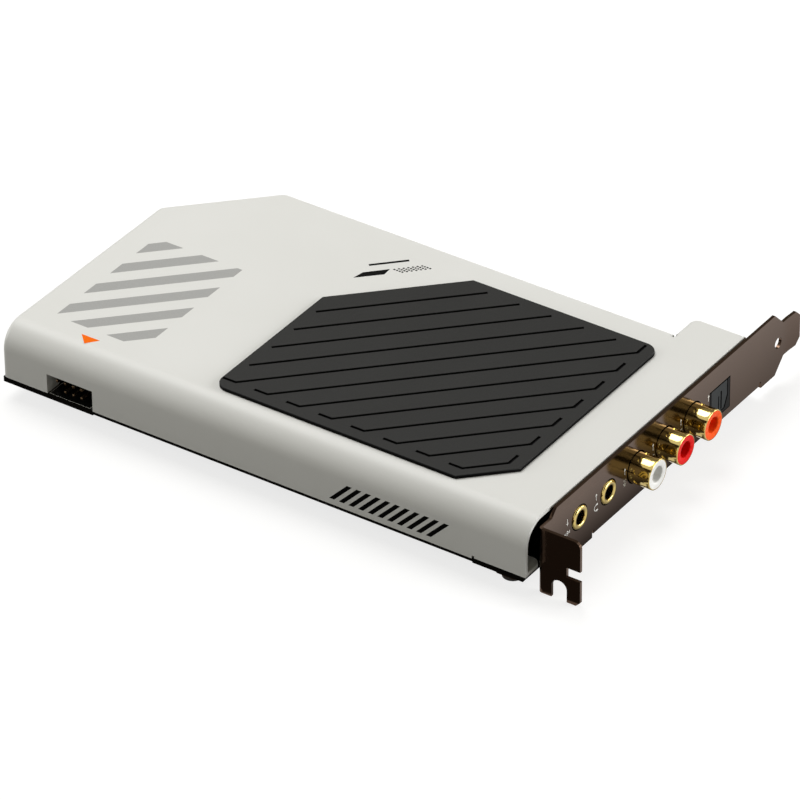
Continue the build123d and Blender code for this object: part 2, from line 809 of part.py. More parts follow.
def build_phono(index, name):
    """Phono socket: housing, dimpled gold shell, coloured insulator and centre contact."""
    y = socket_y[index]
    front = socket_plane(index, behind)
    tip = x_face + shell_reach
    inside = shell_radius - shell_wall
    contact_radius = contact_bore + contact_wall
    back = behind - shell_depth
    rear = behind - phono_depth

    with BuildPart() as housing:
        with BuildSketch(Plane.XY.offset(board_top)):
            with Locations((behind, y)):
                Rectangle(phono_depth, housing_width, align=(Align.MAX, Align.CENTER))
        extrude(amount=phono_height)
        fillet(housing.edges().filter_by(Axis.X).group_by(Axis.Z)[-1], radius=housing_edge)
        with BuildSketch(front):
            Circle(shell_radius + fit_gap)
        extrude(amount=-shell_depth - fit_gap, mode=Mode.SUBTRACT)
        with BuildSketch(front):
            Circle(contact_stem + fit_gap)
        extrude(amount=-phono_depth, mode=Mode.SUBTRACT)
        with BuildSketch(Plane.XY.offset(board_top)):
            with Locations((behind - shell_tail, y)):
                Rectangle(tail_thickness + 2 * fit_gap, tail_width + 2 * fit_gap)
        extrude(amount=socket_z - board_top - inside, mode=Mode.SUBTRACT)
    keep(housing, f"{name}_housing")

    with BuildPart() as shell:
        with BuildSketch(socket_plane(index, tip)):
            Circle(shell_radius)
        extrude(amount=back - tip)
        chamfer(shell.faces().sort_by(Axis.X)[-1].edges(), length=shell_edge)
        # Stamped grips round the barrel, rounded at the foot and running up to the lip
        length = shell_reach - lip_length - dimple_start
        for i in range(dimple_count):
            turn = radians(360 / dimple_count * (i + 0.5))
            grip = Plane(
                origin=(x_face, y, socket_z),
                x_dir=(1, 0, 0),
                z_dir=(0, cos(turn), sin(turn)),
            )
            with BuildSketch(grip.offset(shell_radius - dimple_depth)):
                with Locations((dimple_start + length / 2, 0)):
                    SlotOverall(length, dimple_width)
            extrude(amount=shell_wall, mode=Mode.SUBTRACT)
        with BuildSketch(socket_plane(index, tip)):
            Circle(inside)
        extrude(amount=back - tip, mode=Mode.SUBTRACT)
        with BuildSketch(socket_plane(index, tip)):
            Circle(shell_radius - shell_lip)
        extrude(amount=-insulator_rim, mode=Mode.SUBTRACT)
        with BuildSketch(Plane.XY.offset(tail_end)):
            with Locations((behind - shell_tail, y)):
                Rectangle(tail_thickness, tail_width)
        extrude(amount=socket_z - inside - shell_wall / 4 - tail_end)
    keep(shell, f"{name}_shell")

    with BuildPart() as insulator:
        with BuildSketch(socket_plane(index, tip - fit_gap)):
            Circle(inside - fit_gap)
        extrude(amount=back - tip + fit_gap)
        # Wider rim that covers the edge of the shell
        with BuildSketch(socket_plane(index, tip - fit_gap)):
            Circle(shell_radius - shell_lip - fit_gap)
        extrude(amount=2 * fit_gap - insulator_rim)
        with BuildSketch(socket_plane(index, tip)):
            Circle(insulator_mouth)
        extrude(amount=x_face - tip, mode=Mode.SUBTRACT)
        with BuildSketch(socket_plane(index, x_face)):
            Circle(contact_radius + fit_gap)
        extrude(amount=back - x_face, mode=Mode.SUBTRACT)
        mouth = insulator.edges().filter_by(GeomType.CIRCLE).group_by(Axis.X)[-1]
        chamfer(mouth.sort_by(SortBy.LENGTH)[0], length=insulator_bevel)
    keep(insulator, f"{name}_insulator")

    with BuildPart() as contact:
        with BuildSketch(socket_plane(index, x_face)):
            Circle(contact_radius)
        extrude(amount=back - x_face + fit_gap)
        with BuildSketch(socket_plane(index, x_face)):
            Circle(contact_bore)
        extrude(amount=back - x_face + contact_stem, mode=Mode.SUBTRACT)
        with BuildSketch(socket_plane(index, back + fit_gap)):
            Circle(contact_stem)
        extrude(amount=rear - back - fit_gap)
        with BuildSketch(Plane.XY.offset(tail_end)):
            with Locations((rear, y)):
                Rectangle(tail_thickness, tail_width, align=(Align.MAX, Align.CENTER))
        extrude(amount=socket_z + contact_stem - tail_end)
    keep(contact, f"{name}_contact")


def mouth_outline(gap, top):
    """Outline of the optical socket's mouth, drawn across and up, tapering at its foot."""
    y = socket_y[-1]
    half = mouth_width / 2 - gap
    low = z_strip + mouth_low + gap
    with BuildSketch() as outline:
        with BuildLine():
            Polyline(
                (y - half + mouth_taper, low),
                (y + half - mouth_taper, low),
                (y + half, low + mouth_taper_rise),
                (y + half, top),
                (y - half, top),
                (y - half, low + mouth_taper_rise),
                close=True,
            )
        make_face()
    return outline.sketch


def build_optical():
    """Square optical socket: housing, emitter, and a sprung shutter on its hinge pin."""
    index = socket_count - 1
    y = socket_y[index]
    hinge_z = z_strip + hinge_rise
    nose = x_face - nose_set_back
    shutter_front = nose - shutter_set_back
    hinge_front = behind - hinge_gap
    hinge_x = hinge_front - hinge_radius
    cavity_top = hinge_z + hinge_radius + hinge_gap
    rear = behind - optical_depth
    hinge_plane = Plane(origin=(hinge_x, y, hinge_z), x_dir=(1, 0, 0), z_dir=(0, -1, 0))
    window_low = z_strip + optical_window_low
    nose_low = window_low + nose_gap
    nose_top = window_low + optical_window_height - nose_top_gap
    lens_z = z_strip + mouth_low + emitter_rise
    emitter_depth = optical_depth - cavity_depth
    knuckle = mouth_width - 2 * shutter_gap
    pin_length = housing_width - 2 * pin_set_back

    with BuildPart() as housing:
        with BuildSketch(Plane.XY.offset(board_top)):
            with Locations((behind, y)):
                Rectangle(optical_depth, housing_width, align=(Align.MAX, Align.CENTER))
        extrude(amount=optical_height)
        with BuildSketch(Plane.XY.offset(window_low)):
            with Locations((behind, y)):
                Rectangle(
                    behind - board_right - fit_gap,
                    optical_window_width,
                    align=(Align.MAX, Align.CENTER),
                )
        extrude(amount=board_top - window_low)
        # Nose that fills the window in the strip, open at the top where the shutter hangs
        with BuildSketch(Plane.YZ.offset(behind)):
            with Locations((y, nose_low)):
                Rectangle(
                    optical_window_width - 2 * nose_gap,
                    nose_top - nose_low,
                    align=(Align.CENTER, Align.MIN),
                )
        extrude(amount=nose - behind)
        with BuildSketch(Plane.YZ.offset(nose)):
            add(mouth_outline(0, cavity_top))
        extrude(amount=behind - nose - cavity_depth, mode=Mode.SUBTRACT)
        with BuildSketch(hinge_plane.offset(-housing_width / 2)):
            Circle(hinge_pin_radius + pin_fit)
        extrude(amount=housing_width, mode=Mode.SUBTRACT)
        with BuildSketch(Plane.YZ.offset(rear)):
            with Locations((y, lens_z)):
                Rectangle(emitter_size, emitter_size)
        extrude(amount=emitter_depth, mode=Mode.SUBTRACT)
        fillet(housing.edges().filter_by(Axis.X).group_by(Axis.Z)[-1], radius=optical_edge)
    keep(housing, "optical_housing")

    with BuildPart() as emitter:
        with BuildSketch(Plane.YZ.offset(rear)):
            with Locations((y, lens_z)):
                Rectangle(emitter_size - 2 * fit_gap, emitter_size - 2 * fit_gap)
        extrude(amount=emitter_depth - emitter_set_back)
        with BuildSketch(Plane.YZ.offset(rear)):
            with Locations((y, lens_z)):
                Circle(lens_radius)
        extrude(amount=emitter_depth - emitter_set_back + lens_reach)
        chamfer(emitter.faces().sort_by(Axis.X)[-1].edges(), length=lens_edge)
    keep(emitter, "optical_emitter")

    with BuildPart() as shutter:
        with BuildSketch(Plane.YZ.offset(shutter_front)):
            add(mouth_outline(shutter_gap, nose_top))
        extrude(amount=-shutter_thickness)
        # Root that steps back behind the strip to the knuckle
        with BuildSketch(Plane.XZ.offset(-y - knuckle / 2)):
            with BuildLine():
                Polyline(
                    (shutter_front, nose_top - shutter_root),
                    (shutter_front, nose_top),
                    (hinge_front, nose_top),
                    (hinge_front, hinge_z),
                    (hinge_x, hinge_z),
                    (hinge_x, nose_top),
                    (shutter_front - shutter_thickness, nose_top - shutter_root),
                    close=True,
                )
            make_face()
            with Locations((hinge_x, hinge_z)):
                Circle(hinge_radius)
        extrude(amount=knuckle)
        # Room for the spring in the middle of the knuckle
        with BuildSketch(hinge_plane.offset(-spring_gap / 2)):
            Circle(hinge_radius + spring_room)
        extrude(amount=spring_gap, mode=Mode.SUBTRACT)
        with BuildSketch(hinge_plane.offset(-mouth_width / 2)):
            Circle(hinge_pin_radius + fit_gap)
        extrude(amount=mouth_width, mode=Mode.SUBTRACT)
        # Two upright grooves in the front
        with BuildSketch(Plane.YZ.offset(shutter_front)):
            for side, width, height in shutter_grooves:
                with Locations((y + side, z_strip + shutter_groove_low)):
                    Rectangle(width, height, align=(Align.CENTER, Align.MIN))
        extrude(amount=-shutter_thickness / 2, mode=Mode.SUBTRACT)
    keep(shutter, "optical_shutter")

    with BuildPart() as pin:
        with BuildSketch(hinge_plane.offset(-pin_length / 2)):
            Circle(hinge_pin_radius)
        extrude(amount=pin_length)
    keep(pin, "shutter_pin")

    # Torsion spring, drawn as close-wound turns round the pin
    wire = (spring_gap - 2 * spring_end_gap) / spring_turns
    coil_inside = hinge_pin_radius + fit_gap
    coil_outside = hinge_radius - fit_gap
    coil = Plane(origin=(hinge_x, y, hinge_z), x_dir=(0, 1, 0), z_dir=(1, 0, 0))
    with BuildPart() as spring:
        with BuildSketch(coil):
            with Locations((0, coil_inside)):
                Rectangle(spring_turns * wire, spring_core, align=(Align.CENTER, Align.MIN))
            with Locations((0, coil_inside)):
                with GridLocations(wire, wire, spring_turns, 1):
                    Rectangle(
                        wire - spring_turn_gap,
                        coil_outside - coil_inside,
                        align=(Align.CENTER, Align.MIN),
                    )
        revolve(axis=Axis((hinge_x, y, hinge_z), (0, 1, 0)))
    keep(spring, "shutter_spring")


def build_header():
    """Angled header: moulded base and square pins, with one place left out as the key."""
    base_near = y_near + header_base_set_back
    tip = y_near + header_tip_inset
    height = header_row_rise + header_pitch * (header_rows - 0.5)
    middle = header_left + header_width / 2 - header_shift
    with BuildPart() as base:
        with BuildSketch(Plane.XY.offset(board_top)):
            with Locations((middle, base_near)):
                Rectangle(
                    header_columns * header_pitch,
                    header_base_depth,
                    align=(Align.CENTER, Align.MIN),
                )
        extrude(amount=height)
        chamfer(base.edges().filter_by(Axis.Y), length=header_base_edge)
        with BuildSketch(Plane.XZ.offset(-base_near)):
            with Locations(*[(x, z) for x, z, y in header_places()]):
                Rectangle(header_pin + 2 * fit_gap, header_pin + 2 * fit_gap)
        extrude(amount=-header_base_depth, mode=Mode.SUBTRACT)
    keep(base, "header_base")

    with BuildPart() as pins:
        for x, z, tail_y in header_places():
            with BuildSketch(Plane.XZ.offset(-tip)):
                with Locations((x, z)):
                    Rectangle(header_pin, header_pin)
            extrude(amount=-(tail_y + header_pin / 2 - tip))
            with BuildSketch(Plane.XY.offset(tail_end)):
                with Locations((x, tail_y)):
                    Rectangle(header_pin, header_pin)
            extrude(amount=z + header_pin / 2 - tail_end)
        chamfer(pins.faces().group_by(Axis.Y)[0].edges(), length=header_pin_bevel)
    keep(pins, "header_pins")


def build_screws(name, places, seat, grip):
    """Pan-head screws driven from below, each head up against its seat."""
    with BuildPart() as screws:
        with BuildSketch(Plane.XY.offset(seat - screw_head_height)):
            with Locations(*places):
                Circle(screw_head_radius)
        extrude(amount=screw_head_height)
        chamfer(screws.faces().group_by(Axis.Z)[0].edges(), length=screw_head_edge)
        with BuildSketch(Plane.XY.offset(seat)):
            with Locations(*places):
                Circle(screw_radius)
        extrude(amount=grip)
    keep(screws, name)


def build_chip(name, place, size, leads, all_round):
    """Chip package on the board, with leads on two sides or all round."""
    length, width, height = size
    x = x_face - place[0]
    y = y_tab + place[1]
    with BuildPart() as chip:
        with BuildSketch(Plane.XY.offset(board_top + chip_lift)):
            with Locations((x, y)):
                Rectangle(length, width)
        extrude(amount=height - chip_lift)
        chamfer(chip.faces().sort_by(Axis.Z)[-1].edges(), length=chip_edge)
        with BuildSketch(Plane.XY.offset(board_top)):
            with Locations((x, y)):
                with GridLocations(length / leads, width + lead_reach, leads, 2):
                    Rectangle(lead_width, lead_reach)
                if all_round:
                    with GridLocations(length + lead_reach, width / leads, 2, leads):
                        Rectangle(lead_reach, lead_width)
        extrude(amount=lead_height)
    keep(chip, name)


def build_capacitor(name, place, size):
    """Electrolytic capacitor: an upright can with a bevelled top."""
    radius, height = size
    with BuildPart() as can:
        with BuildSketch(Plane.XY.offset(board_top)):
            with Locations((x_face - place[0], y_tab + place[1])):
                Circle(radius)
        extrude(amount=height)
        chamfer(can.faces().sort_by(Axis.Z)[-1].edges(), length=can_bevel)
    keep(can, name)


def build_box(name, place, size):
    """Boxed component such as a relay, a clock or a shielded inductor."""
    length, width, height = size
    with BuildPart() as box:
        with BuildSketch(Plane.XY.offset(board_top)):
            with Locations((x_face - place[0], y_tab + place[1])):
                Rectangle(length, width)
        extrude(amount=height)
        chamfer(box.faces().sort_by(Axis.Z)[-1].edges(), length=box_bevel)
    keep(box, name)


def build_passives():
    """Small resistors and capacitors in rows between the chips."""
    with BuildPart() as passives:
        with BuildSketch(Plane.XY.offset(board_top)):
            for back, across, columns, rows in passive_fields:
                with Locations((x_face - back, y_tab + across)):
                    with GridLocations(passive_step, passive_row, columns, rows):
                        Rectangle(passive_length, passive_width)
        extrude(amount=passive_height)
    keep(passives, "small_passives")


build_bracket()
build_cover()
build_pad()
build_board()
build_edge_contacts()

build_jack(0, "mic_socket")
build_jack(1, "headphone_socket")
build_phono(2, "left_phono")
build_phono(3, "right_phono")
build_phono(4, "digital_phono")
build_optical()
build_header()

cover_grip = board_thickness + cover_wall + screw_end
build_screws("bracket_screws", bracket_screws, flange_low, sheet + cover_grip)
build_screws("cover_screws", cover_screws, board_bottom, cover_grip)

for name, (place, size, leads, all_round) in chips.items():
    build_chip(name, place, size, leads, all_round)
for name, (place, size) in boxes.items():
    build_box(name, place, size)
for name, (place, size) in cans.items():
    build_capacitor(name, place, size)
build_passives()
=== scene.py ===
import json
import math

import bmesh
import bpy
from mathutils import Matrix, Vector


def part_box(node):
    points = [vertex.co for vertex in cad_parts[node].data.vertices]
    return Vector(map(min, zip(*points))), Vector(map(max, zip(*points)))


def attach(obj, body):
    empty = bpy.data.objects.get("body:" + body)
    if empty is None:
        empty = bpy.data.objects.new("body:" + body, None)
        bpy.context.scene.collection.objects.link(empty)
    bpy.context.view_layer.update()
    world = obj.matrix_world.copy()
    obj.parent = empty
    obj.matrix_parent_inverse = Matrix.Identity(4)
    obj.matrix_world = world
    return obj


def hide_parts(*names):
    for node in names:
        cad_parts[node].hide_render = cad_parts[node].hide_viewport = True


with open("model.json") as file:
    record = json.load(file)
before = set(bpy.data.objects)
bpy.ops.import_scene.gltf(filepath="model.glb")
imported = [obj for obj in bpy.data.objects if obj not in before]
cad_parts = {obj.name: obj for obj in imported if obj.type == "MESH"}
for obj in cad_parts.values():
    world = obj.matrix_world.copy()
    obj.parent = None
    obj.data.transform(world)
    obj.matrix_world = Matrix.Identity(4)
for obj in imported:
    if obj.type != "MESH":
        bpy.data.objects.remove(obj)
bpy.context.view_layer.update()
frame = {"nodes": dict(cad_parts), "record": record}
scene = bpy.context.scene
scene.view_settings.view_transform = "Standard"

# Places are in millimetres from the bracket:
# x out of its face, y along it from the tab, z up from its lower edge

MM = 0.001
mounts = {mount["name"]: [c / MM for c in mount["pos_m"]] for mount in frame["record"]["mounts"]}
FACE_X = mounts["bracket_face"][0]
TAB_Y = mounts["screw_notch"][1]
STRIP_Z = 2.57
SOCKET_MOUNTS = (
    "mic_bore", "headphone_bore", "left_phono_bore", "right_phono_bore", "digital_phono_bore",
    "optical_mouth")
SOCKETS = [mounts[name][1] - TAB_Y for name in SOCKET_MOUNTS]
SOCKET_UP = mounts["mic_bore"][2] - STRIP_Z


def corners_of(name):
    """Lowest and highest corner of a CAD node, measured from the bracket."""
    return [corner / MM - Vector((FACE_X, TAB_Y, STRIP_Z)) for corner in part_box(name)]


COVER_NEAR = corners_of("cover")[0].y
COVER_TOP = corners_of("cover")[1].z
BOARD_UNDER = corners_of("circuit_board")[0].z
BOARD_TOP = corners_of("circuit_board")[1].z
INK_SUNK, INK_PROUD = 0.01, 0.006


def at(x, y, z):
    """Place measured from the bracket, as a point of the frame in metres."""
    return Vector((FACE_X + x, TAB_Y + y, STRIP_Z + z)) / 1000


def metres(*sizes):
    """Sizes in millimetres, as a tuple in metres."""
    return tuple(size * MM for size in sizes)


def on_cover(u, v, h):
    return at(u, v, COVER_TOP + h)


def on_near_wall(u, v, h):
    return at(u, COVER_NEAR - h, v)


def on_bracket(u, v, h):
    return at(h, u, v)


def on_board(u, v, h):
    return at(u, v, BOARD_TOP + h)


def under_board(u, v, h):
    return at(u, v, BOARD_UNDER - h)


# Nodes and materials

# Sockets known by their number: those of a Mix node that mixes colours, and the outputs of Separate XYZ
SHARE, ONE, TWO, MIXED = 0, 6, 7, 2
X, Y, Z = 0, 1, 2


def linear(code):
    """Linear colour of an sRGB hex code."""
    parts = [int(code[i:i + 2], 16) / 255 for i in (1, 3, 5)]
    return (*[c / 12.92 if c <= 0.04045 else ((c + 0.055) / 1.055) ** 2.4 for c in parts], 1.0)


def node(tree, kind, inputs=None, **settings):
    """Add a node, set its fields, and feed its inputs with values or with other nodes' outputs."""
    made = tree.nodes.new(kind)
    for name, value in settings.items():
        setattr(made, name, value)
    for key, value in (inputs or {}).items():
        if isinstance(value, bpy.types.NodeSocket):
            tree.links.new(value, made.inputs[key])
        else:
            made.inputs[key].default_value = value
    return made


def bare_tree(owner):
    """Empty node tree of a material or a world."""
    owner.use_nodes = True
    owner.node_tree.nodes.clear()
    return owner.node_tree


def material(name, values):
    """New material with one principled shader, and the object's own coordinates."""
    made = bpy.data.materials.new(name)
    tree = bare_tree(made)
    shader = node(tree, "ShaderNodeBsdfPrincipled", values)
    node(tree, "ShaderNodeOutputMaterial", {"Surface": shader.outputs[0]})
    place = node(tree, "ShaderNodeTexCoord").outputs["Object"]
    return made, tree, shader, place


def dress(tree, shader, tone, rough, bump):
    """Lead a material's colour, roughness and bump to its shader."""
    tree.links.new(tone.outputs[MIXED], shader.inputs["Base Color"])
    tree.links.new(rough.outputs[0], shader.inputs["Roughness"])
    tree.links.new(bump.outputs[0], shader.inputs["Normal"])


def per_mm(size):
    """Texture scale at which one feature is this many millimetres."""
    return 1000 / size


def powder_painted_steel():
    # Polyester powder baked on sheet steel: satin white with a faint orange peel and no grain
    made, tree, shader, place = material("powder_painted_steel", {"IOR": 1.5})
    cloud = node(tree, "ShaderNodeTexNoise", {"Vector": place, "Scale": per_mm(28), "Detail": 2.0})
    peel = node(tree, "ShaderNodeTexNoise", {"Vector": place, "Scale": per_mm(1.1), "Detail": 1.0})
    tone = node(tree, "ShaderNodeMix", {
        SHARE: cloud.outputs[0], ONE: linear("#DCDCD9"), TWO: linear("#E1E1DF")}, data_type="RGBA")
    rough = node(tree, "ShaderNodeMapRange", {"Value": cloud.outputs[0], "To Min": 0.40, "To Max": 0.50})
    bump = node(tree, "ShaderNodeBump", {
        "Height": peel.outputs[0], "Strength": 0.25, "Distance": 0.03 * MM})
    dress(tree, shader, tone, rough, bump)
    return made


def moulded_rubber():
    # Thermoplastic rubber: dark grey and finely grained where the mould is etched on top. Down the sides and
    # in the grooves it is painted near black with little shine, as painted shade. The grain is drawn a few
    # times coarser than the real one, so that it shows
    made, tree, shader, place = material("moulded_rubber", {"IOR": 1.48})
    pad_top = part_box("top_pad")[1].z
    shade_full_below, shade_gone_above = pad_top - 0.27 * MM, pad_top - 0.09 * MM
    grain = node(tree, "ShaderNodeTexNoise", {"Vector": place, "Scale": per_mm(0.45), "Detail": 3.0})
    cloud = node(tree, "ShaderNodeTexNoise", {"Vector": place, "Scale": per_mm(14), "Detail": 2.0})
    height = node(tree, "ShaderNodeSeparateXYZ", {0: place}).outputs[Z]
    # Painted shade: below the edge of the top, the sides and grooves go near black and lose most of their
    # shine
    unshaded_top = node(tree, "ShaderNodeMapRange", {
        "Value": height, "From Min": shade_full_below, "From Max": shade_gone_above}).outputs[0]
    etched = node(tree, "ShaderNodeMix", {
        SHARE: cloud.outputs[0], ONE: linear("#212120"), TWO: linear("#272726")}, data_type="RGBA")
    tone = node(tree, "ShaderNodeMix", {
        SHARE: unshaded_top, ONE: linear("#060606"), TWO: etched.outputs[MIXED]}, data_type="RGBA")
    shine = node(tree, "ShaderNodeMapRange", {"Value": unshaded_top, "To Min": 0.06, "To Max": 0.18})
    tree.links.new(shine.outputs[0], shader.inputs["Specular IOR Level"])
    rough = node(tree, "ShaderNodeMapRange", {"Value": grain.outputs[0], "To Min": 0.48, "To Max": 0.66})
    bump = node(tree, "ShaderNodeBump", {
        "Height": grain.outputs[0], "Strength": 0.35, "Distance": 0.04 * MM})
    dress(tree, shader, tone, rough, bump)
    return made


def black_nickel_plate():
    # Black nickel on rolled steel: a dark bronze mirror, softened by rolling lines along the strip, which
    # are drawn a few times coarser than the real ones, so that they show
    made, tree, shader, place = material("black_nickel_plate", {"Metallic": 1.0})
    drawn = node(tree, "ShaderNodeMapping", {
        "Vector": place, "Scale": (per_mm(0.25), per_mm(12), per_mm(0.25))})
    lines = node(tree, "ShaderNodeTexNoise", {"Vector": drawn.outputs[0], "Scale": 1.0, "Detail": 3.0})
    cloud = node(tree, "ShaderNodeTexNoise", {"Vector": place, "Scale": per_mm(18), "Detail": 2.0})
    tone = node(tree, "ShaderNodeMix", {
        SHARE: cloud.outputs[0], ONE: linear("#554337"), TWO: linear("#5F4C3F")}, data_type="RGBA")
    rough = node(tree, "ShaderNodeMapRange", {"Value": lines.outputs[0], "To Min": 0.09, "To Max": 0.17})
    bump = node(tree, "ShaderNodeBump", {
        "Height": lines.outputs[0], "Strength": 0.06, "Distance": 0.02 * MM})
    dress(tree, shader, tone, rough, bump)
    return made


def gold_plate():
    # Gold on turned and stamped brass: bright, with turning lines that draw the highlights out round the
    # barrel and are coarser than the tool's own feed, so that they show
    made, tree, shader, place = material("gold_plate", {"Metallic": 1.0})
    turned = node(tree, "ShaderNodeMapping", {
        "Vector": place, "Scale": (per_mm(0.12), per_mm(6), per_mm(6))})
    lines = node(tree, "ShaderNodeTexNoise", {"Vector": turned.outputs[0], "Scale": 1.0, "Detail": 2.0})
    cloud = node(tree, "ShaderNodeTexNoise", {"Vector": place, "Scale": per_mm(5), "Detail": 2.0})
    tone = node(tree, "ShaderNodeMix", {
        SHARE: cloud.outputs[0], ONE: linear("#C3A85F"), TWO: linear("#D3BE7C")}, data_type="RGBA")
    rough = node(tree, "ShaderNodeMapRange", {"Value": lines.outputs[0], "To Min": 0.05, "To Max": 0.12})
    bump = node(tree, "ShaderNodeBump", {
        "Height": lines.outputs[0], "Strength": 0.05, "Distance": 0.02 * MM})
    dress(tree, shader, tone, rough, bump)
    return made


def moulded_plastic(name, dark, light, roughness, grain_mm, gloss=0.5):
    # Injection-moulded plastic: an even colour with slight flow marks and the mould's own grain, which is
    # drawn a few times coarser than the real one, so that it shows
    made, tree, shader, place = material(name, {"IOR": 1.5, "Specular IOR Level": gloss})
    flow = node(tree, "ShaderNodeTexNoise", {"Vector": place, "Scale": per_mm(3.5), "Detail": 2.0})
    grain = node(tree, "ShaderNodeTexNoise", {"Vector": place, "Scale": per_mm(grain_mm), "Detail": 2.0})
    tone = node(tree, "ShaderNodeMix", {
        SHARE: flow.outputs[0], ONE: linear(dark), TWO: linear(light)}, data_type="RGBA")
    rough = node(tree, "ShaderNodeMapRange", {
        "Value": grain.outputs[0], "To Min": roughness - 0.06, "To Max": roughness + 0.06})
    bump = node(tree, "ShaderNodeBump", {
        "Height": grain.outputs[0], "Strength": 0.2, "Distance": 0.02 * MM})
    dress(tree, shader, tone, rough, bump)
    return made


def solder_masked_laminate():
    # Glass laminate under black solder mask: glossy faces with a ghost of the weave, and dull brown-black
    # sawn edges. A wave repeats about three times in the length that its scale names, which makes a weave
    # of 1 mm: the real one of half a millimetre is too fine to show
    made, tree, shader, place = material("solder_masked_laminate", {"IOR": 1.5})
    weave, cross = [
        node(tree, "ShaderNodeTexWave", {
            "Vector": place, "Scale": per_mm(3.2), "Distortion": 1.0}, bands_direction=way).outputs[1]
        for way in ("X", "Y")]
    woven = node(tree, "ShaderNodeMath", {0: weave, 1: cross}, operation="MULTIPLY")
    facing = node(tree, "ShaderNodeSeparateXYZ", {0: node(tree, "ShaderNodeNewGeometry").outputs["Normal"]})
    flat = node(tree, "ShaderNodeMath", {0: facing.outputs[Z]}, operation="ABSOLUTE")
    side = node(tree, "ShaderNodeMapRange", {"Value": flat.outputs[0], "From Min": 0.9, "From Max": 0.5})
    sawn = node(tree, "ShaderNodeTexNoise", {"Vector": place, "Scale": per_mm(0.3), "Detail": 3.0})
    edge = node(tree, "ShaderNodeMix", {
        SHARE: sawn.outputs[0], ONE: linear("#080706"), TWO: linear("#100E0B")}, data_type="RGBA")
    face = node(tree, "ShaderNodeMix", {
        SHARE: woven.outputs[0], ONE: linear("#0B0C0B"), TWO: linear("#101110")}, data_type="RGBA")
    tone = node(tree, "ShaderNodeMix", {
        SHARE: side.outputs[0], ONE: face.outputs[MIXED], TWO: edge.outputs[MIXED]}, data_type="RGBA")
    rough = node(tree, "ShaderNodeMapRange", {"Value": side.outputs[0], "To Min": 0.32, "To Max": 0.8})
    shine = node(tree, "ShaderNodeMapRange", {"Value": side.outputs[0], "To Min": 0.3, "To Max": 0.03})
    tree.links.new(shine.outputs[0], shader.inputs["Specular IOR Level"])
    bump = node(tree, "ShaderNodeBump", {
        "Height": woven.outputs[0], "Strength": 0.15, "Distance": 0.02 * MM})
    dress(tree, shader, tone, rough, bump)
    return made


def metal(name, dark, light, low, high, patch_mm):
    # Plated, drawn or soldered metal: its own colour with patches of duller and brighter surface
    made, tree, shader, place = material(name, {"Metallic": 1.0})
    patch = node(tree, "ShaderNodeTexNoise", {"Vector": place, "Scale": per_mm(patch_mm), "Detail": 3.0})
    tone = node(tree, "ShaderNodeMix", {
        SHARE: patch.outputs[0], ONE: linear(dark), TWO: linear(light)}, data_type="RGBA")
    rough = node(tree, "ShaderNodeMapRange", {"Value": patch.outputs[0], "To Min": low, "To Max": high})
    bump = node(tree, "ShaderNodeBump", {
        "Height": patch.outputs[0], "Strength": 0.1, "Distance": 0.03 * MM})
    dress(tree, shader, tone, rough, bump)
    return made


def screen_ink(name, dark, light):
    # Screen-printed ink: dense and flat, a little duller than the paint, with a trace of the mesh that laid
    # it, drawn a few times coarser than the real mesh, so that it shows
    made, tree, shader, place = material(name, {"IOR": 1.5, "Specular IOR Level": 0.05})
    mesh = node(tree, "ShaderNodeTexVoronoi", {"Vector": place, "Scale": per_mm(0.35)})
    tone = node(tree, "ShaderNodeMix", {
        SHARE: mesh.outputs[0], ONE: linear(dark), TWO: linear(light)}, data_type="RGBA")
    rough = node(tree, "ShaderNodeMapRange", {"Value": mesh.outputs[0], "To Min": 0.5, "To Max": 0.62})
    bump = node(tree, "ShaderNodeBump", {
        "Height": mesh.outputs[0], "Strength": 0.1, "Distance": 0.01 * MM})
    dress(tree, shader, tone, rough, bump)
    return made


finishes = {
    "cover_paint": powder_painted_steel(),
    "pad": moulded_rubber(),
    "bracket_plating": black_nickel_plate(),
    "board_laminate": solder_masked_laminate(),
    "gold_plating": gold_plate(),
    "white_plastic": moulded_plastic("white_abs", "#EEEEEB", "#F4F4F2", 0.32, 0.5, 0.2),
    "red_plastic": moulded_plastic("red_abs", "#E0120F", "#EA1B16", 0.3, 0.5, 0.06),
    "orange_plastic": moulded_plastic("orange_abs", "#FB5214", "#FF6220", 0.3, 0.5, 0.06),
    "socket_moulding": moulded_plastic("black_nylon", "#080808", "#0D0D0D", 0.5, 0.35, 0.1),
    "shutter_plastic": moulded_plastic("grey_nylon", "#252829", "#2B2E2F", 0.45, 0.3, 0.12),
    "emitter_resin": moulded_plastic("tinted_epoxy", "#2A0A08", "#3A100C", 0.15, 1.5),
    "bare_steel": metal("nickel_plated_steel", "#77777A", "#939395", 0.22, 0.38, 1.2),
    "can_aluminium": metal("drawn_aluminium", "#B4B5B8", "#C8C9CB", 0.28, 0.42, 2.5),
    "relay_case": moulded_plastic("pale_polyester", "#D6D1C2", "#DED9CC", 0.4, 0.5),
    "clock_can": metal("plated_lid", "#A9A89F", "#BDBCB4", 0.25, 0.36, 1.0),
    "inductor_core": moulded_plastic("pressed_ferrite", "#1E1E1F", "#2B2B2C", 0.7, 0.3),
    "passive_ceramic": moulded_plastic("fired_ceramic", "#5E4A32", "#8A7350", 0.5, 0.6),
    "chip_resin": moulded_plastic("filled_epoxy", "#121213", "#1B1B1C", 0.55, 0.25, 0.3),
}
# Black film with no shine, used only as painted shade in the gaps round the sockets
gap_shade_film = moulded_plastic("painted_gap_shade", "#020202", "#050505", 0.85, 0.35, 0.0)
black_ink = screen_ink("black_ink", "#020202", "#050505")
grey_ink = screen_ink("grey_ink", "#A6A6A5", "#ADADAC")
orange_ink = screen_ink("orange_ink", "#F96A08", "#FF7614")
white_ink = screen_ink("white_ink", "#D8D8D4", "#E6E6E2")
masked_copper = metal("masked_copper", "#1A1B19", "#242522", 0.3, 0.45, 2.0)
solder = metal("tin_solder", "#A8A7A1", "#C4C3BD", 0.2, 0.42, 0.6)

